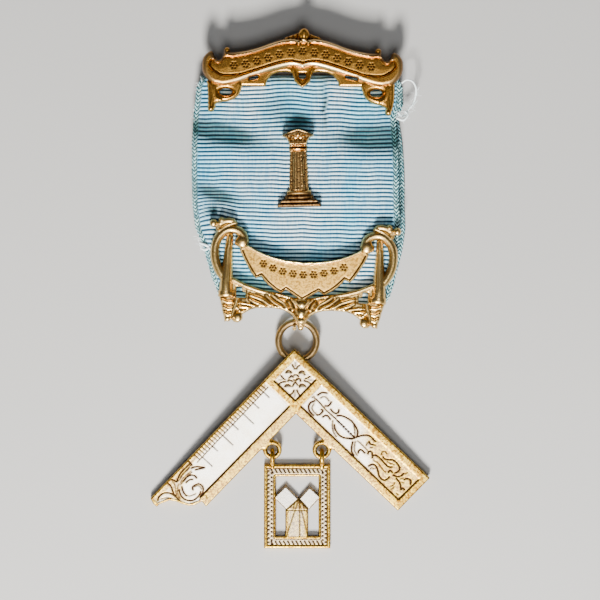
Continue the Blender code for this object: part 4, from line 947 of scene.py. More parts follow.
def new_tree(name, sizes):
    """An empty Geometry Nodes tree, and its inputs with one for each of these sizes."""
    tree = bpy.data.node_groups.new(name, "GeometryNodeTree")
    tree.interface.new_socket("Geometry", in_out="INPUT", socket_type="NodeSocketGeometry")
    for label, value in sizes.items():
        kind = "NodeSocketInt" if isinstance(value, int) else "NodeSocketFloat"
        tree.interface.new_socket(label, in_out="INPUT", socket_type=kind).default_value = value
    tree.interface.new_socket("Material", in_out="INPUT", socket_type="NodeSocketMaterial")
    tree.interface.new_socket("Geometry", in_out="OUTPUT", socket_type="NodeSocketGeometry")
    start = tree.nodes.new("NodeGroupInput")
    return tree, {socket.name: Output(tree, socket) for socket in start.outputs}


def spaced_points(tree, count, start, pitch):
    """A straight row of points along X, with sizes in millimetres."""
    return node(tree, "GeometryNodeMeshLine", {
        "Count": count,
        "Start Location": vector(tree, start * MM, 0.0, 0.0),
        "Offset": vector(tree, pitch * MM, 0.0, 0.0),
    })


def moved(shape, x, y, turn=0.0):
    """Moves a shape by millimetres, after turning it about Z."""
    return node(shape.tree, "GeometryNodeTransform", {
        "Geometry": shape,
        "Translation": vector(shape.tree, x * MM, y * MM, 0.0),
        "Rotation": vector(shape.tree, 0.0, 0.0, turn),
    })


def together(shapes):
    tree = shapes[0].tree
    made = tree.nodes.new("GeometryNodeJoinGeometry")
    for shape in shapes:
        put(made.inputs[0], shape)
    return Output(tree, made.outputs[0])


def stamped(points, shape, **more):
    """Sets a copy of a shape on every point."""
    values = {"Points": points, "Instance": shape, **more}
    copies = node(points.tree, "GeometryNodeInstanceOnPoints", values)
    return node(points.tree, "GeometryNodeRealizeInstances", {"Geometry": copies})


def told(tree, label):
    """The value with this name at each point."""
    return node(tree, "GeometryNodeInputNamedAttribute", {"Name": label}, data_type="FLOAT")


def marked(shape, label, value):
    """Writes a named value at each point."""
    values = {"Geometry": shape, "Name": label, "Value": value}
    return node(shape.tree, "GeometryNodeStoreNamedAttribute", values, data_type="FLOAT", domain="POINT")


def cut_into(piece, given, tools, target, half, deep):
    """Lowers a piece's face along the tools' lines or points and marks the cut as stained."""
    tree = piece.tree
    place = node(tree, "GeometryNodeInputPosition")
    where = {0: tools, "Sample Position": stretched(place, FLAT)}
    near = node(tree, "GeometryNodeProximity", where, "Distance", target_element=target)
    share = ramp(near, 0.0, half * MM * 2.0, 1.0, 0.0, "SMOOTHSTEP")
    height = node(tree, "ShaderNodeSeparateXYZ", {0: place}, "Z")
    share = share * height.calc("GREATER_THAN", given["Face above"] * MM)
    down = vector(tree, 0.0, 0.0, share * (deep * MM) * -1.0)
    lowered = node(tree, "GeometryNodeSetPosition", {"Geometry": piece, "Offset": down})
    dark = (share * 1.7).calc("MINIMUM", 1.0)
    return marked(lowered, "stain_and_shade", told(tree, "stain_and_shade").calc("MAXIMUM", dark))


def close_tree(shape, given):
    """Ends a tree in Realize Instances and Set Material."""
    whole = node(shape.tree, "GeometryNodeRealizeInstances", {"Geometry": shape})
    looks = {"Geometry": whole, "Material": given["Material"]}
    put(shape.tree.nodes.new("NodeGroupOutput").inputs[0], node(shape.tree, "GeometryNodeSetMaterial", looks))
    return shape.tree


def grown(made, tree, sizes, material):
    """Runs a tree on a piece with these sizes and keeps the result as its plain mesh."""
    step = made.modifiers.new(tree.name, "NODES")
    step.node_group = tree
    values = {**sizes, "Material": material}
    for item in tree.interface.items_tree:
        if item.item_type == "SOCKET" and item.in_out == "INPUT" and item.name in values:
            step[item.identifier] = values[item.name]
    return plain_mesh(made)


def ruler_tree():
    """Divisions cut across an arm: short, medium every 4 and long every 8."""
    tree, given = new_tree("ruler divisions", {
        "Pitch": 0.69, "First": 8.99, "Count": 27, "Short": 1.05, "Medium": 2.5, "Long": 3.8,
        "From edge": 0.3, "Half width": 0.085, "Depth": 0.05, "Turn": 0.0, "Face above": 0.7,
    })
    row = spaced_points(tree, given["Count"], given["First"], given["Pitch"])
    number = node(tree, "GeometryNodeInputIndex")
    eighth, fourth = ((number + 7.0).calc("MODULO", every).calc("COMPARE", 0.0, 0.1) for every in (8.0, 4.0))
    eighth = eighth * number.calc("GREATER_THAN", 2.0)
    medium = fourth * (given["Medium"] - given["Short"])
    long = eighth * (given["Long"] - given["Medium"])
    length = (given["Short"] + (medium + long)) * MM
    tick = node(tree, "GeometryNodeMeshLine", {"Count": 2, "Offset": (0.0, 1.0, 0.0)})
    ticks = stamped(row, tick, Scale=vector(tree, 1.0, length, 1.0))
    turned = moved(moved(ticks, 0.0, given["From edge"]), 0.0, 0.0, given["Turn"])
    piece = cut_into(given["Geometry"], given, turned, "EDGES", given["Half width"], given["Depth"])
    return close_tree(piece, given)


def frame_tree():
    """The hung plate's border: slashes along its top and foot, two rows of dots down each side."""
    tree, given = new_tree("plate border", {
        "Pitch": 0.775, "Count": 13, "Side count": 18, "Half width": 5.0, "Top": -1.1, "Foot": -14.4,
        "Row gap": 0.56, "Line": 0.095, "Depth": 0.09, "Face above": 0.7,
    })
    start = given["Pitch"] * (given["Count"] - 1.0) * -0.5
    row = spaced_points(tree, given["Count"], start, given["Pitch"])
    ends = {"Start Location": (-0.00018, 0.00032, 0.0), "Offset": (0.00036, -0.00064, 0.0)}
    slashes = stamped(row, node(tree, "GeometryNodeMeshLine", {"Count": 2, **ends}))
    both = together([moved(slashes, 0.0, given[end]) for end in ("Top", "Foot")])
    piece = cut_into(given["Geometry"], given, both, "EDGES", given["Line"], given["Depth"])
    side = spaced_points(tree, given["Side count"], 0.0, given["Pitch"])
    columns = []
    for sign in (-1.0, 1.0):
        for part, shift in ((0.5, 0.0), (-0.5, 0.5)):
            across = (given["Half width"] + given["Row gap"] * part) * sign
            columns.append(moved(side, across, given["Top"] - given["Pitch"] * shift, -math.pi / 2))
    piece = cut_into(piece, given, together(columns), "POINTS", given["Line"] * 1.5, given["Depth"])
    return close_tree(piece, given)


def rosette_tree(spots):
    """A row of punched rosettes along a line, each a dot in a ring of petals."""
    tree, given = new_tree("punched rosettes", {
        "Count": 11, "Petals": 6, "Radius": 0.52, "Dot": 0.17, "Depth": 0.10, "Face above": 4.6,
    })
    places = [(*(Vector(spot) * MM), 0.0) for spot in spots]
    parts = [
        node(tree, "GeometryNodeCurvePrimitiveLine", {"Start": start, "End": end})
        for start, end in zip(places, places[1:])
    ]
    line = node(tree, "GeometryNodeCurveToMesh", {"Curve": together(parts)})
    line = node(tree, "GeometryNodeMergeByDistance", {0: line})
    run = node(tree, "GeometryNodeMeshToCurve", {"Mesh": line})
    row = node(tree, "GeometryNodeResampleCurve", {"Curve": run, "Count": given["Count"]})
    ring = {"Vertices": given["Petals"], "Radius": given["Radius"] * MM}
    petals = node(tree, "GeometryNodeMeshCircle", ring)
    middle = node(tree, "GeometryNodeMeshLine", {"Count": 1})
    dots = stamped(row, together([petals, middle]))
    piece = cut_into(given["Geometry"], given, dots, "POINTS", given["Dot"], given["Depth"])
    return close_tree(piece, given)


def pebble_tree():
    """Small punched pits scattered over the pillar's shaft."""
    tree, given = new_tree("pebbled shaft", {
        "Density": 1.6, "Low": -4.0, "High": 3.1, "Pit": 0.10, "Depth": 0.07, "Face above": 4.3,
    })
    place = node(tree, "GeometryNodeInputPosition")
    up, height = (node(tree, "ShaderNodeSeparateXYZ", {0: place}, axis) for axis in ("Y", "Z"))
    shaft = up.calc("GREATER_THAN", given["Low"] * MM) * up.calc("LESS_THAN", given["High"] * MM)
    shaft = shaft * height.calc("GREATER_THAN", given["Face above"] * MM)
    pits = node(tree, "GeometryNodeDistributePointsOnFaces", {
        "Mesh": given["Geometry"], "Selection": shaft, "Density": given["Density"] * 1e6, "Seed": 7,
    }, "Points", distribute_method="RANDOM")
    laid = {"Geometry": pits, "Position": stretched(place, FLAT)}
    pits = node(tree, "GeometryNodeSetPosition", laid)
    piece = cut_into(given["Geometry"], given, pits, "POINTS", given["Pit"], given["Depth"])
    return close_tree(piece, given)


def rib_tree():
    """The ribbon's ribs and its chevron selvedges, raised on a smooth band."""
    tree, given = new_tree("ribs and selvedges", {
        "Pitch": RIB_PITCH, "Height": RIB_HEIGHT, "Selvedge": SELVEDGE, "Chevron pitch": CHEVRON_PITCH,
        "Chevron height": 0.10, "Wander": 0.32,
    })
    along, inset, outer = (told(tree, label) for label in ("along", "inset", "outer"))

    def waves(phase):
        return ((phase * (2 * math.pi)).calc("COSINE") + 1.0) * 0.5

    place = stretched(node(tree, "GeometryNodeInputPosition"), (1.0, 0.45, 0.0))
    wander = (noise(place, 160.0, 2.0) - 0.5) * (given["Wander"] * 2.0)
    crest = waves((along + wander) / given["Pitch"])
    slant = (inset - given["Selvedge"] * 0.5).calc("ABSOLUTE")
    weave = waves((along + slant * CHEVRON_SLANT) / given["Chevron pitch"])
    inner = ramp(inset, given["Selvedge"] - 0.1, given["Selvedge"] + 0.15, kind="SMOOTHSTEP")
    ribs = crest * given["Height"] * inner
    edges = weave * given["Chevron height"] * (1.0 - inner)
    lift = (ribs + edges) * outer * MM
    normal = node(tree, "GeometryNodeInputNormal")
    offset = node(tree, "ShaderNodeVectorMath", {0: normal, "Scale": lift}, operation="SCALE")
    raised = node(tree, "GeometryNodeSetPosition", {"Geometry": given["Geometry"], "Offset": offset})
    blend = crest * inner + weave * (1.0 - inner)
    return close_tree(marked(marked(raised, "crest", blend), "body", inner), given)


def fuzz_tree():
    """Short loose fibres standing off a guide line of thread."""
    sizes = {"Count": 60, "Length": 1.4, "Fibre": 0.028}
    tree, given = new_tree("loose fibres", sizes)
    guide = node(tree, "GeometryNodeMeshToCurve", {"Mesh": given["Geometry"]})
    spots = node(tree, "GeometryNodeResampleCurve", {"Curve": guide, "Count": given["Count"]})
    turns = {0: (-0.5, -0.4, -3.1416), 1: (0.5, 0.4, 3.1416), "Seed": 3}
    lean = node(tree, "FunctionNodeRandomValue", turns, data_type="FLOAT_VECTOR")
    size = node(tree, "FunctionNodeRandomValue", {2: 0.4, 3: 1.0, "Seed": 5}, 1, data_type="FLOAT")
    arc = node(tree, "GeometryNodeCurvePrimitiveBezierSegment", {
        "Resolution": 6, "Start": (0.0, 0.0, 0.0), "Start Handle": (0.0003, 0.0003, 0.0001),
        "End Handle": (0.0004, -0.0004, 0.0001), "End": (0.001, 0.0002, -0.00005),
    })
    section = {"Resolution": 4, "Radius": given["Fibre"] * MM}
    section = node(tree, "GeometryNodeCurvePrimitiveCircle", section)
    fibre = {"Curve": arc, "Profile Curve": section, "Fill Caps": True}
    fibre = node(tree, "GeometryNodeCurveToMesh", fibre)
    return close_tree(stamped(spots, fibre, Rotation=lean, Scale=size * given["Length"]), given)


# Materials


def blank_material(name):
    made = bpy.data.materials.new(name)
    made.use_nodes = True
    return made, made.node_tree


def finished(made, looks):
    """Sets a material's shader to these looks."""
    for name, value in looks.items():
        put(made.node_tree.nodes["Principled BSDF"].inputs[name], value)
    return made


def object_noise(tree, scale, detail=3.0, stretch=(1.0, 1.0, 1.0)):
    return noise(stretched(node(tree, "ShaderNodeTexCoord", output="Object"), stretch), scale, detail)


def read(tree, label):
    """The value that a mesh carries under this name."""
    return node(tree, "ShaderNodeAttribute", output="Fac", attribute_name=label)


def bumps(height, strength, distance):
    values = {"Height": height, "Strength": strength, "Distance": distance}
    return node(height.tree, "ShaderNodeBump", values)


def toned(colour):
    """A gold as dark as the old gilding is under these lights."""
    return tuple(GILT_TONE * value for value in colour)


def gilt(name, bright, deep, dark, rough, grain, mottle=0.6, sand=0.0, burnish_and_highlight=None, shine=0.0, dusty=0.0):
    """Worn gilding: two golds in soft patches, brown in tarnished hollows and as painted shade and dark
    reflections, a paler burnished gold that also serves as painted highlights and glare, and a fine grain.
    """
    made, tree = blank_material(name)
    bright, deep, dark = (toned(colour) for colour in (bright, deep, dark))
    brown = (0.42 * deep[0], 0.30 * deep[1], 0.16 * deep[2])
    patches = ramp(object_noise(tree, 700.0), 0.35, 0.65)
    specks = ramp(object_noise(tree, 2500.0), 0.46, 0.58)
    colour = mixed(patches * mottle, bright, deep)
    colour = mixed(specks * sand, colour, brown)
    if burnish_and_highlight:
        # The paler burnished gold, which also serves as painted highlights and painted glare
        face = read(tree, "polish_and_highlight") * ramp(object_noise(tree, 420.0), 0.30, 0.62, 0.78, 1.0)
        colour = mixed(face, colour, toned(burnish_and_highlight))
        colour = mixed(specks * face * dusty, colour, brown)
    # The brown of tarnished hollows, also laid on as painted shade and painted dark reflections
    stain_and_shade = read(tree, "stain_and_shade")
    uneven = stain_and_shade * ramp(object_noise(tree, 2600.0), 0.3, 0.7, 0.95, 1.35)
    colour = mixed(uneven.calc("MINIMUM", 1.0), colour, dark)
    fine = object_noise(tree, 9000.0, 2.0)
    gloss = ramp(fine, 0.3, 0.7, rough - 0.07, rough + 0.10) + stain_and_shade * 0.25
    dents = fine * 0.4 + object_noise(tree, 2200.0, 2.0)
    if burnish_and_highlight:
        smooth = read(tree, "polish_and_highlight") * (1.0 - stain_and_shade)
        gloss = gloss - smooth * shine
        dents = dents * (1.0 - smooth * 0.8)
    bump = bumps(dents, grain, 0.00006)
    return finished(made, {"Base Color": colour, "Metallic": 1.0, "Roughness": gloss, "Normal": bump})


def ribbed_silk():
    """Sky-blue ribbed silk: pale crests with patches of painted sheen, troughs painted near-black teal as
    shade between the ribs, painted shade in the dents and near both edges, fine warp threads and a soft
    shine.
    """
    made, tree = blank_material("ribbed blue silk")
    warp = object_noise(tree, 3800.0, 2.0, (1.0, 0.12, 1.0))
    # Patches between cyan and near-white crests: partly the silk's own uneven tone, partly painted sheen
    shade = object_noise(tree, 130.0, 2.0, (1.0, 0.5, 1.0))
    pale = mixed(ramp(shade, 0.38, 0.62), (0.34, 0.80, 1.0), (0.76, 0.93, 1.0))
    # Painted shade: the troughs between the ribs are near-black teal
    blue = mixed(ramp(read(tree, "crest"), 0.24, 0.78), (0.005, 0.045, 0.080), pale)
    inset = read(tree, "inset")
    slant = (inset - 0.5 * SELVEDGE).calc("ABSOLUTE") * CHEVRON_SLANT
    turn = (read(tree, "along") + slant) * (2 * math.pi / CHEVRON_PITCH)
    chevron = ramp(turn.calc("COSINE"), -0.05, 0.50) * ramp(object_noise(tree, 1900.0), 0.40, 0.56, 0.22, 1.0)
    selvedge = mixed(chevron, (0.008, 0.045, 0.050), (0.54, 0.84, 0.84))
    groove = ramp((inset - (SELVEDGE - 0.04)).calc("ABSOLUTE"), 0.0, 0.14, 1.0, 0.0) * 0.7
    selvedge = mixed(groove, selvedge, (0.006, 0.030, 0.036))
    # Painted shade: the blue darkens over a few millimetres inside both selvedges
    edge = ramp(inset, SELVEDGE, SELVEDGE + 4.5, 0.6, 0.0)
    blue = mixed(edge, blue, stretched(blue, (0.50, 0.72, 0.80)))
    colour = mixed(read(tree, "body"), selvedge, blue)
    # Painted shade in the dents, and the pillar's painted shadow above it
    colour = mixed(read(tree, "fold_shade") * 0.90, colour, stretched(colour, (0.035, 0.115, 0.105)))
    colour = mixed(ramp(warp, 0.40, 0.64, 0.0, 0.62), colour, stretched(colour, (0.28, 0.60, 0.80)))
    return finished(made, {
        "Base Color": colour, "Roughness": ramp(warp, 0.3, 0.7, 0.48, 0.66),
        "Specular IOR Level": 0.10, "Sheen Weight": 0.04, "Normal": bumps(warp, 0.35, 0.00005),
    })


def thread_fibre():
    made, tree = blank_material("pale silk thread")
    twist = ramp(object_noise(tree, 6000.0, 2.0), 0.35, 0.65)
    colour = mixed(twist, (0.62, 0.76, 0.80), (0.86, 0.90, 0.90))
    return finished(made, {"Base Color": colour, "Roughness": 0.6, "Sheen Weight": 0.3})


def studio_floor():
    made, tree = blank_material("pale floor")
    colour = mixed(object_noise(tree, 12.0, 2.0), (0.365, 0.365, 0.361), (0.398, 0.398, 0.394))
    return finished(made, {"Base Color": colour, "Roughness": 0.8})


# Pieces


def upper_rail():
    """Where the upper rail is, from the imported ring."""
    low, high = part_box("jump_ring")
    middle = (Vector(low) + Vector(high)) / 2
    return Vector((middle.x - RING_PLACE[0] * MM, middle.y - RING_PLACE[1] * MM, 0.0))


RAIL = upper_rail()


def settle(made, x, y, turn, material, node, slot):
    """Turns a finished piece about its own middle, puts it in place, gives it its material and hides the CAD
    part that it takes the place of.
    """
    move = Matrix.Translation(RAIL + Vector((x, y, 0.0)) * MM) @ Matrix.Rotation(math.radians(turn), 4, "Z")
    made.data.transform(move)
    made.data.materials.clear()
    made.data.materials.append(material)
    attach(made, "root")
    if node:
        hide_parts(node)
    return made


def post(x, foot=RAIL_Z):
    """A post from a rail, or from this height, into a casting's back."""
    return wire("post", [(x, 0, foot), (x, 0, BAR_BACK + POST_SINK)], RAIL_WIRE / 2)


def rail_and_posts(half_length, post_x):
    """The hidden rail in the ribbon's fold and its two posts."""
    rail = wire("rail", [(-half_length, 0, RAIL_Z), (half_length, 0, RAIL_Z)], RAIL_WIRE / 2)
    return [rail, post(-post_x), post(post_x)]


def bail(x, y, top):
    """A U of wire that the ring passes through, open upwards."""
    arc = [math.pi * (1 + step / 12) for step in range(13)]
    points = [(x, y + BAIL_RADIUS * math.cos(a), RING_Z + BAIL_RADIUS * math.sin(a)) for a in arc]
    return wire("bail", [(x, y - BAIL_RADIUS, top)] + points + [(x, y + BAIL_RADIUS, top)], BAIL_WIRE / 2)


def between(place, low, high):
    """Distance inside a strip, negative outside it."""
    return np.minimum(place - low, high - place)


def brooch_bar(material):
    form = Relief((-19.3, -6.2), (19.3, 11.0), 4.75)
    x, y = form.x, form.y
    body = sum((smooth_run(edge, 3) for edge in (BAR_TOP_EDGE, BAR_END_EDGE, BAR_LOW_EDGE)), [])
    field = smooth_run(FIELD_TOP_EDGE, 3) + smooth_run(FIELD_LOW_EDGE, 3)
    outlines = [mirrored(scaled(line, BAR_HALF)) for line in (body, field, BRACKET_EDGE)]
    body, field, bracket = (form.within(line) for line in outlines)
    ears = [form.within(smooth_run(ear + ear[:1], 4)[:-1]) for ear in (LEFT_EAR, RIGHT_EAR)]
    for depth in [body, bracket] + ears:
        form.cover(depth)
    # Bracket, ears, struts and the pierced places
    form.raise_to(bracket, pillow(bracket, 4.60, 4.98, 0.45))
    for ear, hole in zip(ears, EAR_HOLES):
        opening = (1 - oval_reach(x, y, hole)) * min(hole["wide"], hole["high"])
        form.raise_to(ear, pillow(np.minimum(ear, -opening), 4.45, 5.15, 0.62))
        form.pierce(opening)
    for ridge in EAR_RIDGES:
        form.ridge(smooth_run(ridge, 3), 0.36, 4.95, 0.30, 0.2)
    for knob in EAR_KNOBS:
        form.boss(knob, 5.35, 0.8)
    for side in (-1, 1):
        strut = ((side * 1.75, 2.6), (side * 1.35, 0.9), (0.0, -0.75))
        form.ridge(strut, (0.45, 0.38, 0.30), 4.8, 0.42, 0.16)
    for slot in BRACKET_SLOTS:
        form.pierce(stroke(x, y, slot, 0.28)[0])
    form.pierce(form.within(BRACKET_WINDOW))
    # Wings and hooks beside the finial's foot
    for side in (-1, 1):
        wing = form.within([(side * a, b) for a, b in WING_EDGE])
        form.cover(wing)
        form.raise_to(wing, 5.15 + 0.18 * np.cos(9.0 * x - 3.0 * y), 0.25)
    form.bosses(BAR_HOOK, 5.45, 0.8)
    # Body with its raised rim and sunk field; a painted highlight along the rim's crest, left off at both
    # ends, painted shade in the groove round the field, and painted dark reflections on the outer slope,
    # broadest at both ends
    form.raise_to(body, pillow(body, 4.55, 5.95, 0.80), 0.15)
    form.sink_to(field, 5.15 + 0.05 * np.clip(field, 0, 1.5), 0.46)
    # Painted shade: the groove round the sunk field is darkened as the shade of the rim's inner wall
    form.engrave(np.abs(field - 0.14), 0.12, 0.08, 0.8)
    rim = (field < 0) * (body > -0.1)
    ends = eased((np.abs(x) - 10.0) / 4.0) * rim
    # Painted highlight: a paler gold along the crest of the rim, fainter at both ends
    form.polish_and_highlight = bell(body - 0.52, 0.26) * (field < 0)
    # Painted dark reflection: the outer slope is darkened brown as if it mirrored dark surroundings, more
    # broadly at both ends
    form.add_stain_and_shade(0.7 * eased((0.24 - body) / 0.2) * (body > -0.1) * (np.abs(x) < 12.0))
    form.add_stain_and_shade(0.62 * ends * eased((0.95 - body) / 0.7))
    form.dull(0.55 * ends)
    # Finial, lobed like a shell, on its beads
    reach = oval_reach(x, y, FINIAL)
    lobes = 0.22 * np.cos(9 * np.arctan2(x - FINIAL["x"], y - FINIAL["y"] + 1.6)) * reach
    form.cover((1 - reach) * FINIAL["wide"])
    form.raise_to((1 - reach) * FINIAL["wide"], 5.5 + (1.0 + lobes) * dome(reach))
    for bead in FINIAL_BEADS:
        form.boss(bead, 6.4, 0.5)
    form.darken_hollows(BAR_BACK, 0.85)
    made = cast("brooch_bar_casting", form, BAR_BACK)
    made = grown(made, rosette_tree(BAR_ROSETTES), {"Count": 13, "Face above": 4.9}, material)
    made = joined("brooch_bar_casting", [made] + rail_and_posts(*BAR_RAIL))
    return settle(made, 0.0, 0.0, BAR_TURN, material, "brooch_bar", "orange_gold")


def taper(y, step):
    """How far up a pillar's step each place is, and the step's half width there."""
    share = np.clip((y - step["low"]) / (step["high"] - step["low"]), 0, 1)
    return share, step["foot"] + (step["top"] - step["foot"]) * share


def pillar(material):
    form = Relief((-4.6, -7.7), (4.6, 7.7), BAR_BACK + 0.9, 0.08)
    x, y = form.x, form.y
    for step in PILLAR_STEPS:
        share, half = taper(y, step)
        depth = np.minimum(half - np.abs(x), between(y, step["low"], step["high"]))
        form.cover(depth)
        crown = dome(x / half) if step["round"] else 1.0
        swell = 0.80 + 0.20 * dome(2 * share - 1) if step["high"] - step["low"] < 1.0 else 1.0
        lean = step.get("lean", 0) * (0.5 - share)
        round_part = (step["relief"] - PILLAR_FLAT) * crown * swell
        form.raise_to(depth, BAR_BACK + PILLAR_FLAT + round_part + lean, 0.12)
    # Flutes
    half = taper(y, SHAFT)[1]
    on_shaft = (y > SHAFT["low"] + 0.25) & (y < SHAFT["high"] - 0.2) & (np.abs(x) < half)
    fluted = np.cos(2 * math.pi * FLUTES * (np.arccos(np.clip(x / half, -1, 1)) / math.pi))
    form.height -= np.where(on_shaft, 0.11 * (1 + fluted), 0)
    form.stain_and_shade = np.where(on_shaft, np.clip(0.55 * fluted, 0, 1), 0.77 * eased((SHAFT["low"] - y) / 0.6))
    # Capital
    abacus = form.within(mirrored(ABACUS))
    form.cover(abacus)
    form.raise_to(abacus, BAR_BACK + 1.55)
    form.cut_line([(-2.6, 6.02), (0.0, 6.85), (2.6, 6.02)], 0.10, 0.10, 0.7)
    for leaf in CAPITAL_LEAVES:
        form.ridge(leaf, leaf_halves(len(leaf), 0.42), BAR_BACK + 1.15, 0.65)
    form.boss((0.0, 6.05, 0.42), BAR_BACK + 1.95, 0.4)
    form.bosses((2.15, 5.95, 0.42), BAR_BACK + 1.75, 0.35)
    form.bosses((0.95, 5.75, 0.30), BAR_BACK + 1.8, 0.3)
    form.darken_hollows(BAR_BACK, 0.9)
    made = grown(cast("pillar_casting", form, BAR_BACK), pebble_tree(), {}, material)
    made = joined("pillar_casting", [made, post(0, RAIL_Z - 0.5)])
    return settle(made, *PILLAR_PLACE, PILLAR_TURN, material, "pillar", "orange_gold")


def lower_bar(material):
    form = Relief((-18.2, -7.9), (18.2, 13.6), 4.7)
    swag, garland = (form.within(mirrored(edge)) for edge in (SWAG_EDGE, GARLAND_EDGE))
    form.u = np.abs(form.x)
    y = form.y
    foot, horn = form.within(FOOT_EDGE), form.within(HORN_EDGE)
    for depth in (swag, garland, foot, horn):
        form.cover(depth)
    # Garland and feet
    form.pierce(form.within(GARLAND_WINDOW))
    form.raise_to(garland, 4.75)
    form.ridge(GARLAND_STEM, (0.55, 0.50, 0.50, 0.45, 0.40, 0.30), 4.75, 0.45)
    form.raise_to(np.minimum(0.30 - np.abs(garland - 0.25), -2.2 - y), 5.15, 0.3)
    form.raise_to(foot, 4.90)
    for leaf in GARLAND_LEAVES:
        form.ridge(smooth_run(leaf["line"], 3), leaf["half"], 4.9, 0.42)
    form.ridge(GARLAND_RIM, 0.26, 4.85, 0.30)
    for ridge in FOOT_RIDGES:
        form.ridge(smooth_run(ridge, 3), 0.40, 4.95, 0.50, 0.2)
    for knob in FOOT_KNOBS:
        form.bosses(knob, 5.40, 0.50)
    form.ridge(FOOT_STEM, (0.55, 0.48, 0.42, 0.36, 0.30, 0.26), 5.0, 0.62)
    form.cut_lines(GARLAND_GAPS, 2, 0.12, 0.18, 0.5)
    # Horns and buds at the upper ends
    form.raise_to(horn, 5.0, 0.3)
    for ridge in HORN_RIDGES:
        form.ridge(smooth_run(ridge["line"], 3), ridge["half"], 5.0, 0.45, 0.2)
    form.add_stain_and_shade(0.34 * edge_share(horn, 0.4))
    for bud in BUDS:
        form.bosses(bud, 5.55, 0.7)
    # Swag
    form.raise_to(swag, 5.05 + 0.045 * (y + 1.0), 0.25)
    form.polish_and_highlight = eased(swag / 0.4)
    lip = form.ridge(SWAG_LIP, 0.34, 5.15 + 0.045 * (y + 1.0), 0.30, 0.12)
    form.dull(edge_share(lip, 0.2))
    form.cut_line(SWAG_LINE, 0.13, 0.13)
    # Scrolls, torches and their collars
    scroll = form.ridge(smooth_run(SCROLL_LINE, 3), 0.84, 4.55, 0.95)
    form.cover(scroll)
    form.engrave(np.abs(scroll - 0.28) + FAR * (y < 9.0), 0.10, 0.06, 0.6)
    form.bosses(SCROLL_CURL, 5.70, 0.9)
    rise = 1.42 * (0.72 + 0.28 * eased((6.0 - y) / 6.0))
    form.cover(form.ridge(TORCH_LINE, TORCH_HALVES, 4.5, rise))
    form.cut_line([(13.7, 7.6), (13.78, 1.0)], 0.12, 0.07, 0.5)
    share = (y - COLLAR["low"]) / (COLLAR["high"] - COLLAR["low"])
    across = (form.u - COLLAR["x"]) / COLLAR["half"]
    collar = (1 - np.abs(across)) * COLLAR["half"]
    collar = np.minimum(collar, between(y, COLLAR["low"], COLLAR["high"]))
    form.cover(collar)
    form.raise_to(collar, 4.7 + (0.75 + 0.45 * dome(2 * share - 1)) * dome(across), 0.14)
    # Drop in the middle
    form.raise_to(form.within(DROP_EDGE), 5.0, 0.3)
    for petal in DROP_PETALS:
        form.ridge(petal, leaf_halves(3, 0.34), 5.0, 0.5, 0.12)
    for knob in DROP_KNOBS:
        form.boss((0.0, knob["y"], knob["radius"]), knob["top"], 0.6)
    form.darken_hollows(BAR_BACK, 0.60)
    made = cast("lower_bar_casting", form, BAR_BACK)
    sizes = {"Count": 9, "Face above": 5.1, "Radius": 0.50}
    made = grown(made, rosette_tree(SWAG_ROSETTES), sizes, material)
    back = rail_and_posts(*LOWER_RAIL)
    back.append(bail(RING_PLACE[0] + math.sin(math.radians(LOWER_TURN)) * BAIL_DROP, -BAIL_DROP, top=4.8))
    made = joined("lower_bar_casting", [made] + back)
    return settle(made, *LOWER_PLACE, LOWER_TURN, material, "lower_bar", "pale_gold")


def arm_axes():
    """Directions of the square's left and right arm."""
    a = math.radians(45 + ARM_TURN)
    return Vector((-math.cos(a), -math.sin(a))), Vector((math.sin(a), -math.cos(a)))


def plumb_x():
    """How far beside the square's corner the hung plate's middle hangs."""
    left, right = arm_axes()
    return EYE_SPACING / 2 * (left.y**2 - left.x**2) + EYE_DEPTH * (right.x + left.x)


def eye_centre(side):
    """An eye's place below the inner edge of the left (-1) or right (1) arm."""
    left, right = arm_axes()
    arm, other = (left, right) if side < 0 else (right, left)
    return ((side * EYE_SPACING / 2 + plumb_x() - EYE_DEPTH * other.x) / arm.x) * arm + EYE_DEPTH * other


def leaned():
    """The move that rests the square's lower end on the floor and its corner on the ring."""
    left, right = arm_axes()
    lowest = (RIGHT_ARM * right + ARM_WIDTH * left).y
    ring_foot = -CORNER_TO_BAIL - RING_WIRE / 2
    tilt = Matrix.Rotation(math.atan((RING_Z + RING_WIRE / 2 + RING_GAP) / (ring_foot - lowest)), 4, "X")
    return Matrix.Translation((0, lowest * MM, 0)) @ tilt @ Matrix.Translation((0, -lowest * MM, 0))


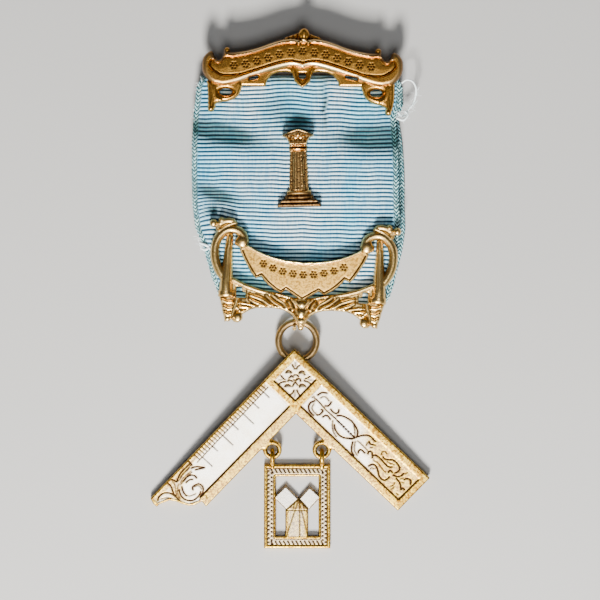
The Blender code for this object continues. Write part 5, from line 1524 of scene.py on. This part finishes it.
def square(material):
    left, right = arm_axes()
    form = Relief((-28.6, -31.5), (26.9, 0.6), SQUARE_PLATE, 0.108)
    x, y = form.x, form.y
    a = form.u = x * left.x + y * left.y
    b = form.v = x * right.x + y * right.y
    inner = [(ARM_WIDTH, ARM_WIDTH), (ARM_WIDTH, RIGHT_ARM), (0, RIGHT_ARM)]
    plate = form.within([(0, 0)] + list(ARM_END) + inner)
    eyes = [np.hypot(x - centre.x, y - centre.y) for centre in map(eye_centre, (-1, 1))]
    form.edge = soft_union(plate, EYE_OUTER - np.minimum(*eyes), 0.7)
    # Eyes, thick as a bead where they stand clear of the plate
    beside = eased(-plate / 0.3)
    for away in eyes:
        bead = 0.62 + 0.50 * dome((away - EYE_MIDDLE) / 0.55)
        form.height += (bead - form.height) * beside * (away < 2.4)
        form.pierce(EYE_HOLE - away)
    # Panels and the bright bands beside them, burnished: partly real burnish, partly painted glare, as their
    # gold is near white
    for outline in PANELS:
        panel = form.within(outline)
        form.sink_to(panel, SQUARE_PLATE - PANEL_DEPTH, 0.25)
        form.shine(edge_share(panel, 0.25))
    on_left, on_right = a > ARM_WIDTH, b > ARM_WIDTH
    bands = np.where(on_left, 0.07 * (b > 6.5), np.where(on_right, 0.07 * (a > 6.7), 0.0))
    form.shine(bands * (plate > 0))
    # Wear: dull at the arms' outer edges and ends, dull at the corner; and darker along the rim, more so near
    # the corner
    form.dull(0.75 * edge_share(1.15 - b, 0.4) * on_left)
    form.dull(0.35 * eased((a - 33.0) / 1.5) * (b < ARM_WIDTH))
    form.dull(0.9 * eased((b - 15.0 - 1.6 * a) / 6.0 + 0.3) * on_right)
    form.dull(0.22 * ((a < ARM_WIDTH) & (b < ARM_WIDTH)))
    outer_edge = np.minimum(np.where(on_left, b, a), np.where(on_right, RIGHT_ARM - b, 9.0))
    near_corner = 0.25 * eased((9.5 - a - b) / 4.0)
    form.add_stain_and_shade((0.24 + near_corner) * eased((1.25 - outer_edge) / 0.6))
    form.dull(0.6 * edge_share(stroke(a, b, LEAF_BODY, (0.5, 0.9, 1.0, 0.9, 0.7, 0.5))[0], 0.6))
    # Engraving, with the toothed spine of the scroll
    for lines, steps, half, deep, dark in ENGRAVING:
        form.cut_lines(lines, steps, half, deep, dark)
    toothed = np.where(np.mod(b * 1.6, 1.0) < 0.80, 1.0, 0.35)
    spine = np.minimum(1.8 * bell(to_line(a, b, SCROLL_SPINE), 0.17) * toothed, 1.0)
    form.height -= 0.09 * spine
    form.add_stain_and_shade(spine)
    for away in eyes:
        form.add_stain_and_shade(0.8 * eased(1.5 - away / 1.15))
    made = cast("square_engraved", form, 0.0, kept=0.62)
    sizes = {"Turn": math.atan2(left.y, left.x), "Face above": 0.8}
    made = grown(made, ruler_tree(), sizes, material)
    made.data.transform(leaned())
    hook = bail(RING_PLACE[0] - CORNER_PLACE[0], -CORNER_TO_BAIL, top=3.4)
    made = joined("square_engraved", [made, hook])
    return settle(made, *CORNER_PLACE, 0.0, material, "square", "pale_gold")


def hung_plate(material):
    form = Relief((-6.5, -15.9), (6.5, 0.4), PLATE_THICKNESS, 0.09)
    x, y = form.x, form.y
    outer = np.minimum(PLATE_WIDTH / 2 - np.abs(x), between(y, -PLATE_HEIGHT, 0))
    opening = form.within(PLATE_OPENING)
    figure = np.max([form.within(outline) for outline in FIGURE], axis=0)
    form.cover(outer)
    form.pierce(opening)
    form.cover(figure)
    # Border between its two grooves
    border = np.minimum(outer - 0.62, -opening - 0.42)
    form.sink_to(border, PLATE_THICKNESS - 0.05, 0.14)
    # The border is burnished; its near-white gold is partly painted glare
    form.shine(0.42 * edge_share(border, 0.2))
    form.engrave(np.abs(outer - 0.62), 0.09, 0.08, 0.8)
    form.engrave(np.abs(-opening - 0.42) + FAR * (opening > 0), 0.08, 0.07, 0.7)
    # Figure, with its upper squares burnished in near-white gold that is partly painted glare, and its
    # outlines and its middle left gold
    inside = (np.minimum(outer, -opening) < 0) & (figure > -0.2)
    form.height = np.where(inside, PLATE_THICKNESS - 0.12, form.height)
    form.polish_and_highlight = np.where(inside, np.where(y > -8.3, 0.95, 0.38), form.polish_and_highlight)
    form.cut_lines(FIGURE_LINES, 1, 0.085, 0.06, 0.7)
    for outline in FIGURE[:2]:
        depth = form.within(outline)
        form.engrave(np.abs(depth - 0.10) + FAR * (depth < -0.1), 0.08, 0.04, 0.6)
    bars = 0.55 - np.abs(np.abs(x + 0.1) - 2.0) - FAR * (y > -8.4)
    gold = np.maximum(form.within(((0.28, -6.4), (-2.0, -8.3), (2.1, -8.3))), bars)
    form.dull(inside * 0.85 * edge_share(gold, 0.3))
    made = grown(cast("hung_plate_engraved", form, 0.0, kept=0.6), frame_tree(), {}, material)
    # Loops through the square's eyes, and the solder that holds them
    eye = eye_centre(-1)
    rim = leaned() @ (Vector((eye.x, eye.y - EYE_MIDDLE, SQUARE_PLATE / 2)) * MM) / MM
    top = rim.y - LOOP_RADIUS - LOOP_WIRE / 4
    made.data.transform(Matrix.Translation((0, top * MM, 0)))
    loops = []
    for side, solder in ((-1, 0.42), (1, 0.5)):
        middle = (side * EYE_SPACING / 2, rim.y, max(LOOP_RADIUS + LOOP_WIRE / 2, rim.z))
        loops.append(wire("loop", circle(middle, LOOP_RADIUS, "X", 36), LOOP_WIRE / 2, closed=True))
        foot = [(middle[0], top + up, height) for up, height in ((0.15, 1.0), (-0.25, 1.1), (-0.55, 0.95))]
        loops.append(wire("solder", foot, solder))
    made = joined("hung_plate_engraved", [made] + loops)
    place = (CORNER_PLACE[0] + plumb_x(), CORNER_PLACE[1])
    return settle(made, *place, 0.0, material, "hung_plate", "pale_gold")


def jump_ring(material):
    line = circle((0, 0, RING_Z), RING_RADIUS, "Z", 96)
    made = wire("jump_ring_wire", line, RING_WIRE / 2, closed=True, sides=20)
    return settle(made, *RING_PLACE, 0.0, material, "jump_ring", "brown_brass")


def ribbon_stations():
    """Round the band, down the front and back up: y, z, the way out in y and z, and backness."""
    radius = RAIL_Z - RIBBON_LIFT - CLOTH / 2
    turns = np.linspace(0, math.pi, 28, endpoint=False)
    turns = [(math.sin(a), math.cos(a), a / math.pi) for a in turns]
    high, low, end = RAIL_Z + radius, RAIL_Z - radius, -RIBBON_REACH
    rows = [(-s, high, 0.0, 1.0, 0.0) for s in np.arange(0.0, RIBBON_REACH, FRONT_STEP)]
    rows += [(end - radius * out, RAIL_Z + radius * up, -out, up, share) for out, up, share in turns]
    rows += [(-s, low, 0.0, -1.0, 1.0) for s in np.arange(RIBBON_REACH, 0.0, -BACK_STEP)]
    rows += [(radius * out, RAIL_Z - radius * up, out, -up, 1 - share) for out, up, share in turns]
    return np.array(rows).T


def ribbon(material):
    """The woven band as one closed loop, smooth, with its edges, swells and dents, then ribbed."""
    y, z, out_y, out_z, backness = ribbon_stations()
    # Stations along the band and lines across it, closer at the edges
    length = np.concatenate([[0], np.cumsum(np.hypot(np.diff(y), np.diff(z)))])
    total = length[-1] + math.hypot(y[0] - y[-1], z[0] - z[-1])
    edge_steps = np.array([0.0, 0.12, 0.25, 0.38, 0.5, 0.62, 0.75, 0.88, 1.0, 1.15])
    inner = np.linspace(1.6, RIBBON_WIDTH - 1.6, 46)
    inset_line = np.concatenate([edge_steps, inner, RIBBON_WIDTH - edge_steps[::-1]])
    share = inset_line / RIBBON_WIDTH
    down = np.clip((RAIL_Z - y) / (RIBBON_REACH + 2 * RAIL_Z), 0, 1)
    shift = 1.2 * backness * np.sin(math.pi * down)
    left = np.interp(down, RIBBON_DOWN, RIBBON_LEFT) * RIBBON_WIDTH + shift
    right = np.interp(down, RIBBON_DOWN, RIBBON_RIGHT) * RIBBON_WIDTH + shift
    x = left[:, None] + (right - left)[:, None] * share[None, :]
    reach = np.clip(-y / RIBBON_REACH, 0, 1)
    across = x + RIBBON_X
    place_y = y[:, None] + math.tan(math.radians(LOWER_TURN)) * across * (reach**3)[:, None]
    # Folds and dents of the front layer, none at the rails, with each dent's depth kept for painted shade
    front = (out_z > 0.5)[:, None] * (1 - backness[:, None])
    rise, fold_shade = np.zeros(x.shape), np.zeros(x.shape)
    for fold in RIBBON_FOLDS:
        aside = across - fold["x"]
        above = place_y - fold["y"] - fold.get("lean", 0.0) * aside
        swell = fold["rise"] * swelling(aside, above, fold["wide"], fold["high"])
        rise += swell
        fold_shade += np.maximum(-swell, 0)
    ends = eased(between(place_y, -RIBBON_REACH, 0) / 2.5)
    rumple = 0.05 * np.sin(0.9 * x + 0.35 * place_y) * np.sin(0.22 * place_y + 1.0)
    height = z[:, None] + (rise + rumple) * front * ends
    # Where the ribs bow, and the small scallops that they make in the edges
    bowed = 0.9 * swelling(across + 16.0, place_y + 23.6, 3.4, 3.2)
    bowed += 0.45 * swelling(across + 3.0, place_y + 2.0, 3.6, 5.0)
    bowed += 0.35 * eased((across - 4.1) / 0.5) * eased((9.0 - across) / 4.0) * bell(place_y + 2.0, 5.0)
    along = length[:, None] + bowed * front
    along *= round(total / RIB_PITCH) * RIB_PITCH / total
    inset = np.minimum(inset_line, RIBBON_WIDTH - inset_line) + np.zeros(x.shape)
    scallop = 0.07 * np.cos(2 * math.pi * along / RIB_PITCH) * np.exp(-inset / 0.3)
    x = x + scallop * np.where(share[None, :] < 0.5, -1.0, 1.0)
    # The closed shell, its outer side first
    layers = [
        np.stack([x, place_y + half * out_y[:, None], height + half * out_z[:, None]], axis=2)
        for half in (0.5 * CLOTH, -0.5 * CLOTH)
    ]
    points = np.concatenate([layer.reshape(-1, 3) for layer in layers]) * MM
    under = x.size
    spot = np.arange(under).reshape(x.shape)
    ahead = np.roll(spot, -1, axis=0)
    top = np.stack([spot[:, :-1], ahead[:, :-1], ahead[:, 1:], spot[:, 1:]], axis=2).reshape(-1, 4)
    walls = [
        np.stack([spot[:, 0] + under, ahead[:, 0] + under, ahead[:, 0], spot[:, 0]], axis=1),
        np.stack([spot[:, -1], ahead[:, -1], ahead[:, -1] + under, spot[:, -1] + under], axis=1),
    ]
    faces = np.concatenate([top, top[:, ::-1] + under] + walls)
    marks = {
        "along": np.tile(along.ravel(), 2),
        "inset": np.tile(inset.ravel(), 2),
        "outer": np.repeat([1.0, 0.0], under),
        "fold_shade": np.concatenate([(np.clip(fold_shade / 0.28, 0, 1) * front).ravel(), np.zeros(under)]),
    }
    made = mesh_object("ribbon_cloth", points.tolist(), [], faces.tolist(), marks)
    made = grown(made, rib_tree(), {}, material)
    made.data.shade_smooth()
    settle(made, RIBBON_X, 0.0, 0.0, material, "ribbon", "blue_cloth")
    return made


def loose_threads(material):
    """The frayed loop at the upper right, the binding at the left edge and fuzz round both."""
    pieces = [wire(name, smooth_run(line, 8), radius, sides=8) for name, (radius, line) in THREADS.items()]
    for name, (count, guide) in FUZZ.items():
        spots = [tuple(Vector(p) * MM) for p in smooth_run(guide, 6)]
        made = mesh_object(name, spots, [(i, i + 1) for i in range(len(spots) - 1)], [])
        made = grown(made, fuzz_tree(), {"Count": count}, material)
        made.data.shade_smooth()
        pieces.append(made)
    for made in pieces:
        settle(made, 0.0, 0.0, 0.0, material, None, "blue_cloth")


# Studio


def area_light(name, place, target, size, power, colour=(1.0, 1.0, 1.0)):
    data = bpy.data.lights.new(name, "AREA")
    data.size = size
    data.energy = power
    data.color = colour
    made = add_object(name, data)
    made.location = place
    made.rotation_mode = "QUATERNION"
    made.rotation_quaternion = (Vector(target) - Vector(place)).to_track_quat("-Z", "Y")


def studio():
    """A pale floor, a soft light from the foot of the picture, a broad one above and a pale sky."""
    corners = [(x * FLOOR_HALF, y * FLOOR_HALF, 0) for x, y in ((-1, -1), (1, -1), (1, 1), (-1, 1))]
    floor = mesh_object("studio_floor", corners, [], [(0, 1, 2, 3)])
    floor.data.materials.append(studio_floor())
    a = math.radians(KEY_ANGLE)
    key_place = (-0.04, -KEY_DISTANCE * math.cos(a), KEY_DISTANCE * math.sin(a))
    area_light("key", key_place, (0, 0, 0), 0.12, KEY_POWER, (1.0, 0.97, 0.92))
    area_light("overhead", (0.03, -0.20, 0.60), (0, -0.03, 0), 0.24, OVERHEAD_POWER)
    world = bpy.data.worlds.new("studio")
    bpy.context.scene.world = world
    world.use_nodes = True
    spot = node(world.node_tree, "ShaderNodeTexCoord", output="Generated")
    up = node(world.node_tree, "ShaderNodeSeparateXYZ", {0: spot}, "Y")
    sky = world.node_tree.nodes["Background"].inputs
    put(sky["Color"], mixed(ramp(up, -0.8, 0.8), (0.60, 0.60, 0.58), (0.06, 0.06, 0.07)))
    put(sky["Strength"], SKY_STRENGTH)


def camera():
    """Straight above the jewel, far enough away to see as much of the floor as the photo does."""
    data = bpy.data.cameras.new("camera")
    data.sensor_width = SENSOR
    data.lens = LENS
    made = add_object("camera", data)
    x, y = VIEW_MIDDLE
    made.location = (x * MM, y * MM, VIEW_WIDTH * MM * LENS / SENSOR + VIEW_HEIGHT * MM)
    bpy.context.scene.camera = made


def main():
    camera()
    orange, pale, copper, burnish_and_highlight, brass = (gilt(name, **looks) for name, looks in GILTS.items())
    brooch_bar(orange)
    pillar(copper)
    lower_bar(pale)
    square(burnish_and_highlight)
    hung_plate(burnish_and_highlight)
    jump_ring(brass)
    ribbon(ribbed_silk())
    loose_threads(thread_fibre())
    for hidden in ("brooch_pin", "pillar_keeper"):
        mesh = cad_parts[hidden].data
        mesh.materials.clear()
        mesh.materials.append(brass)
    studio()


main()
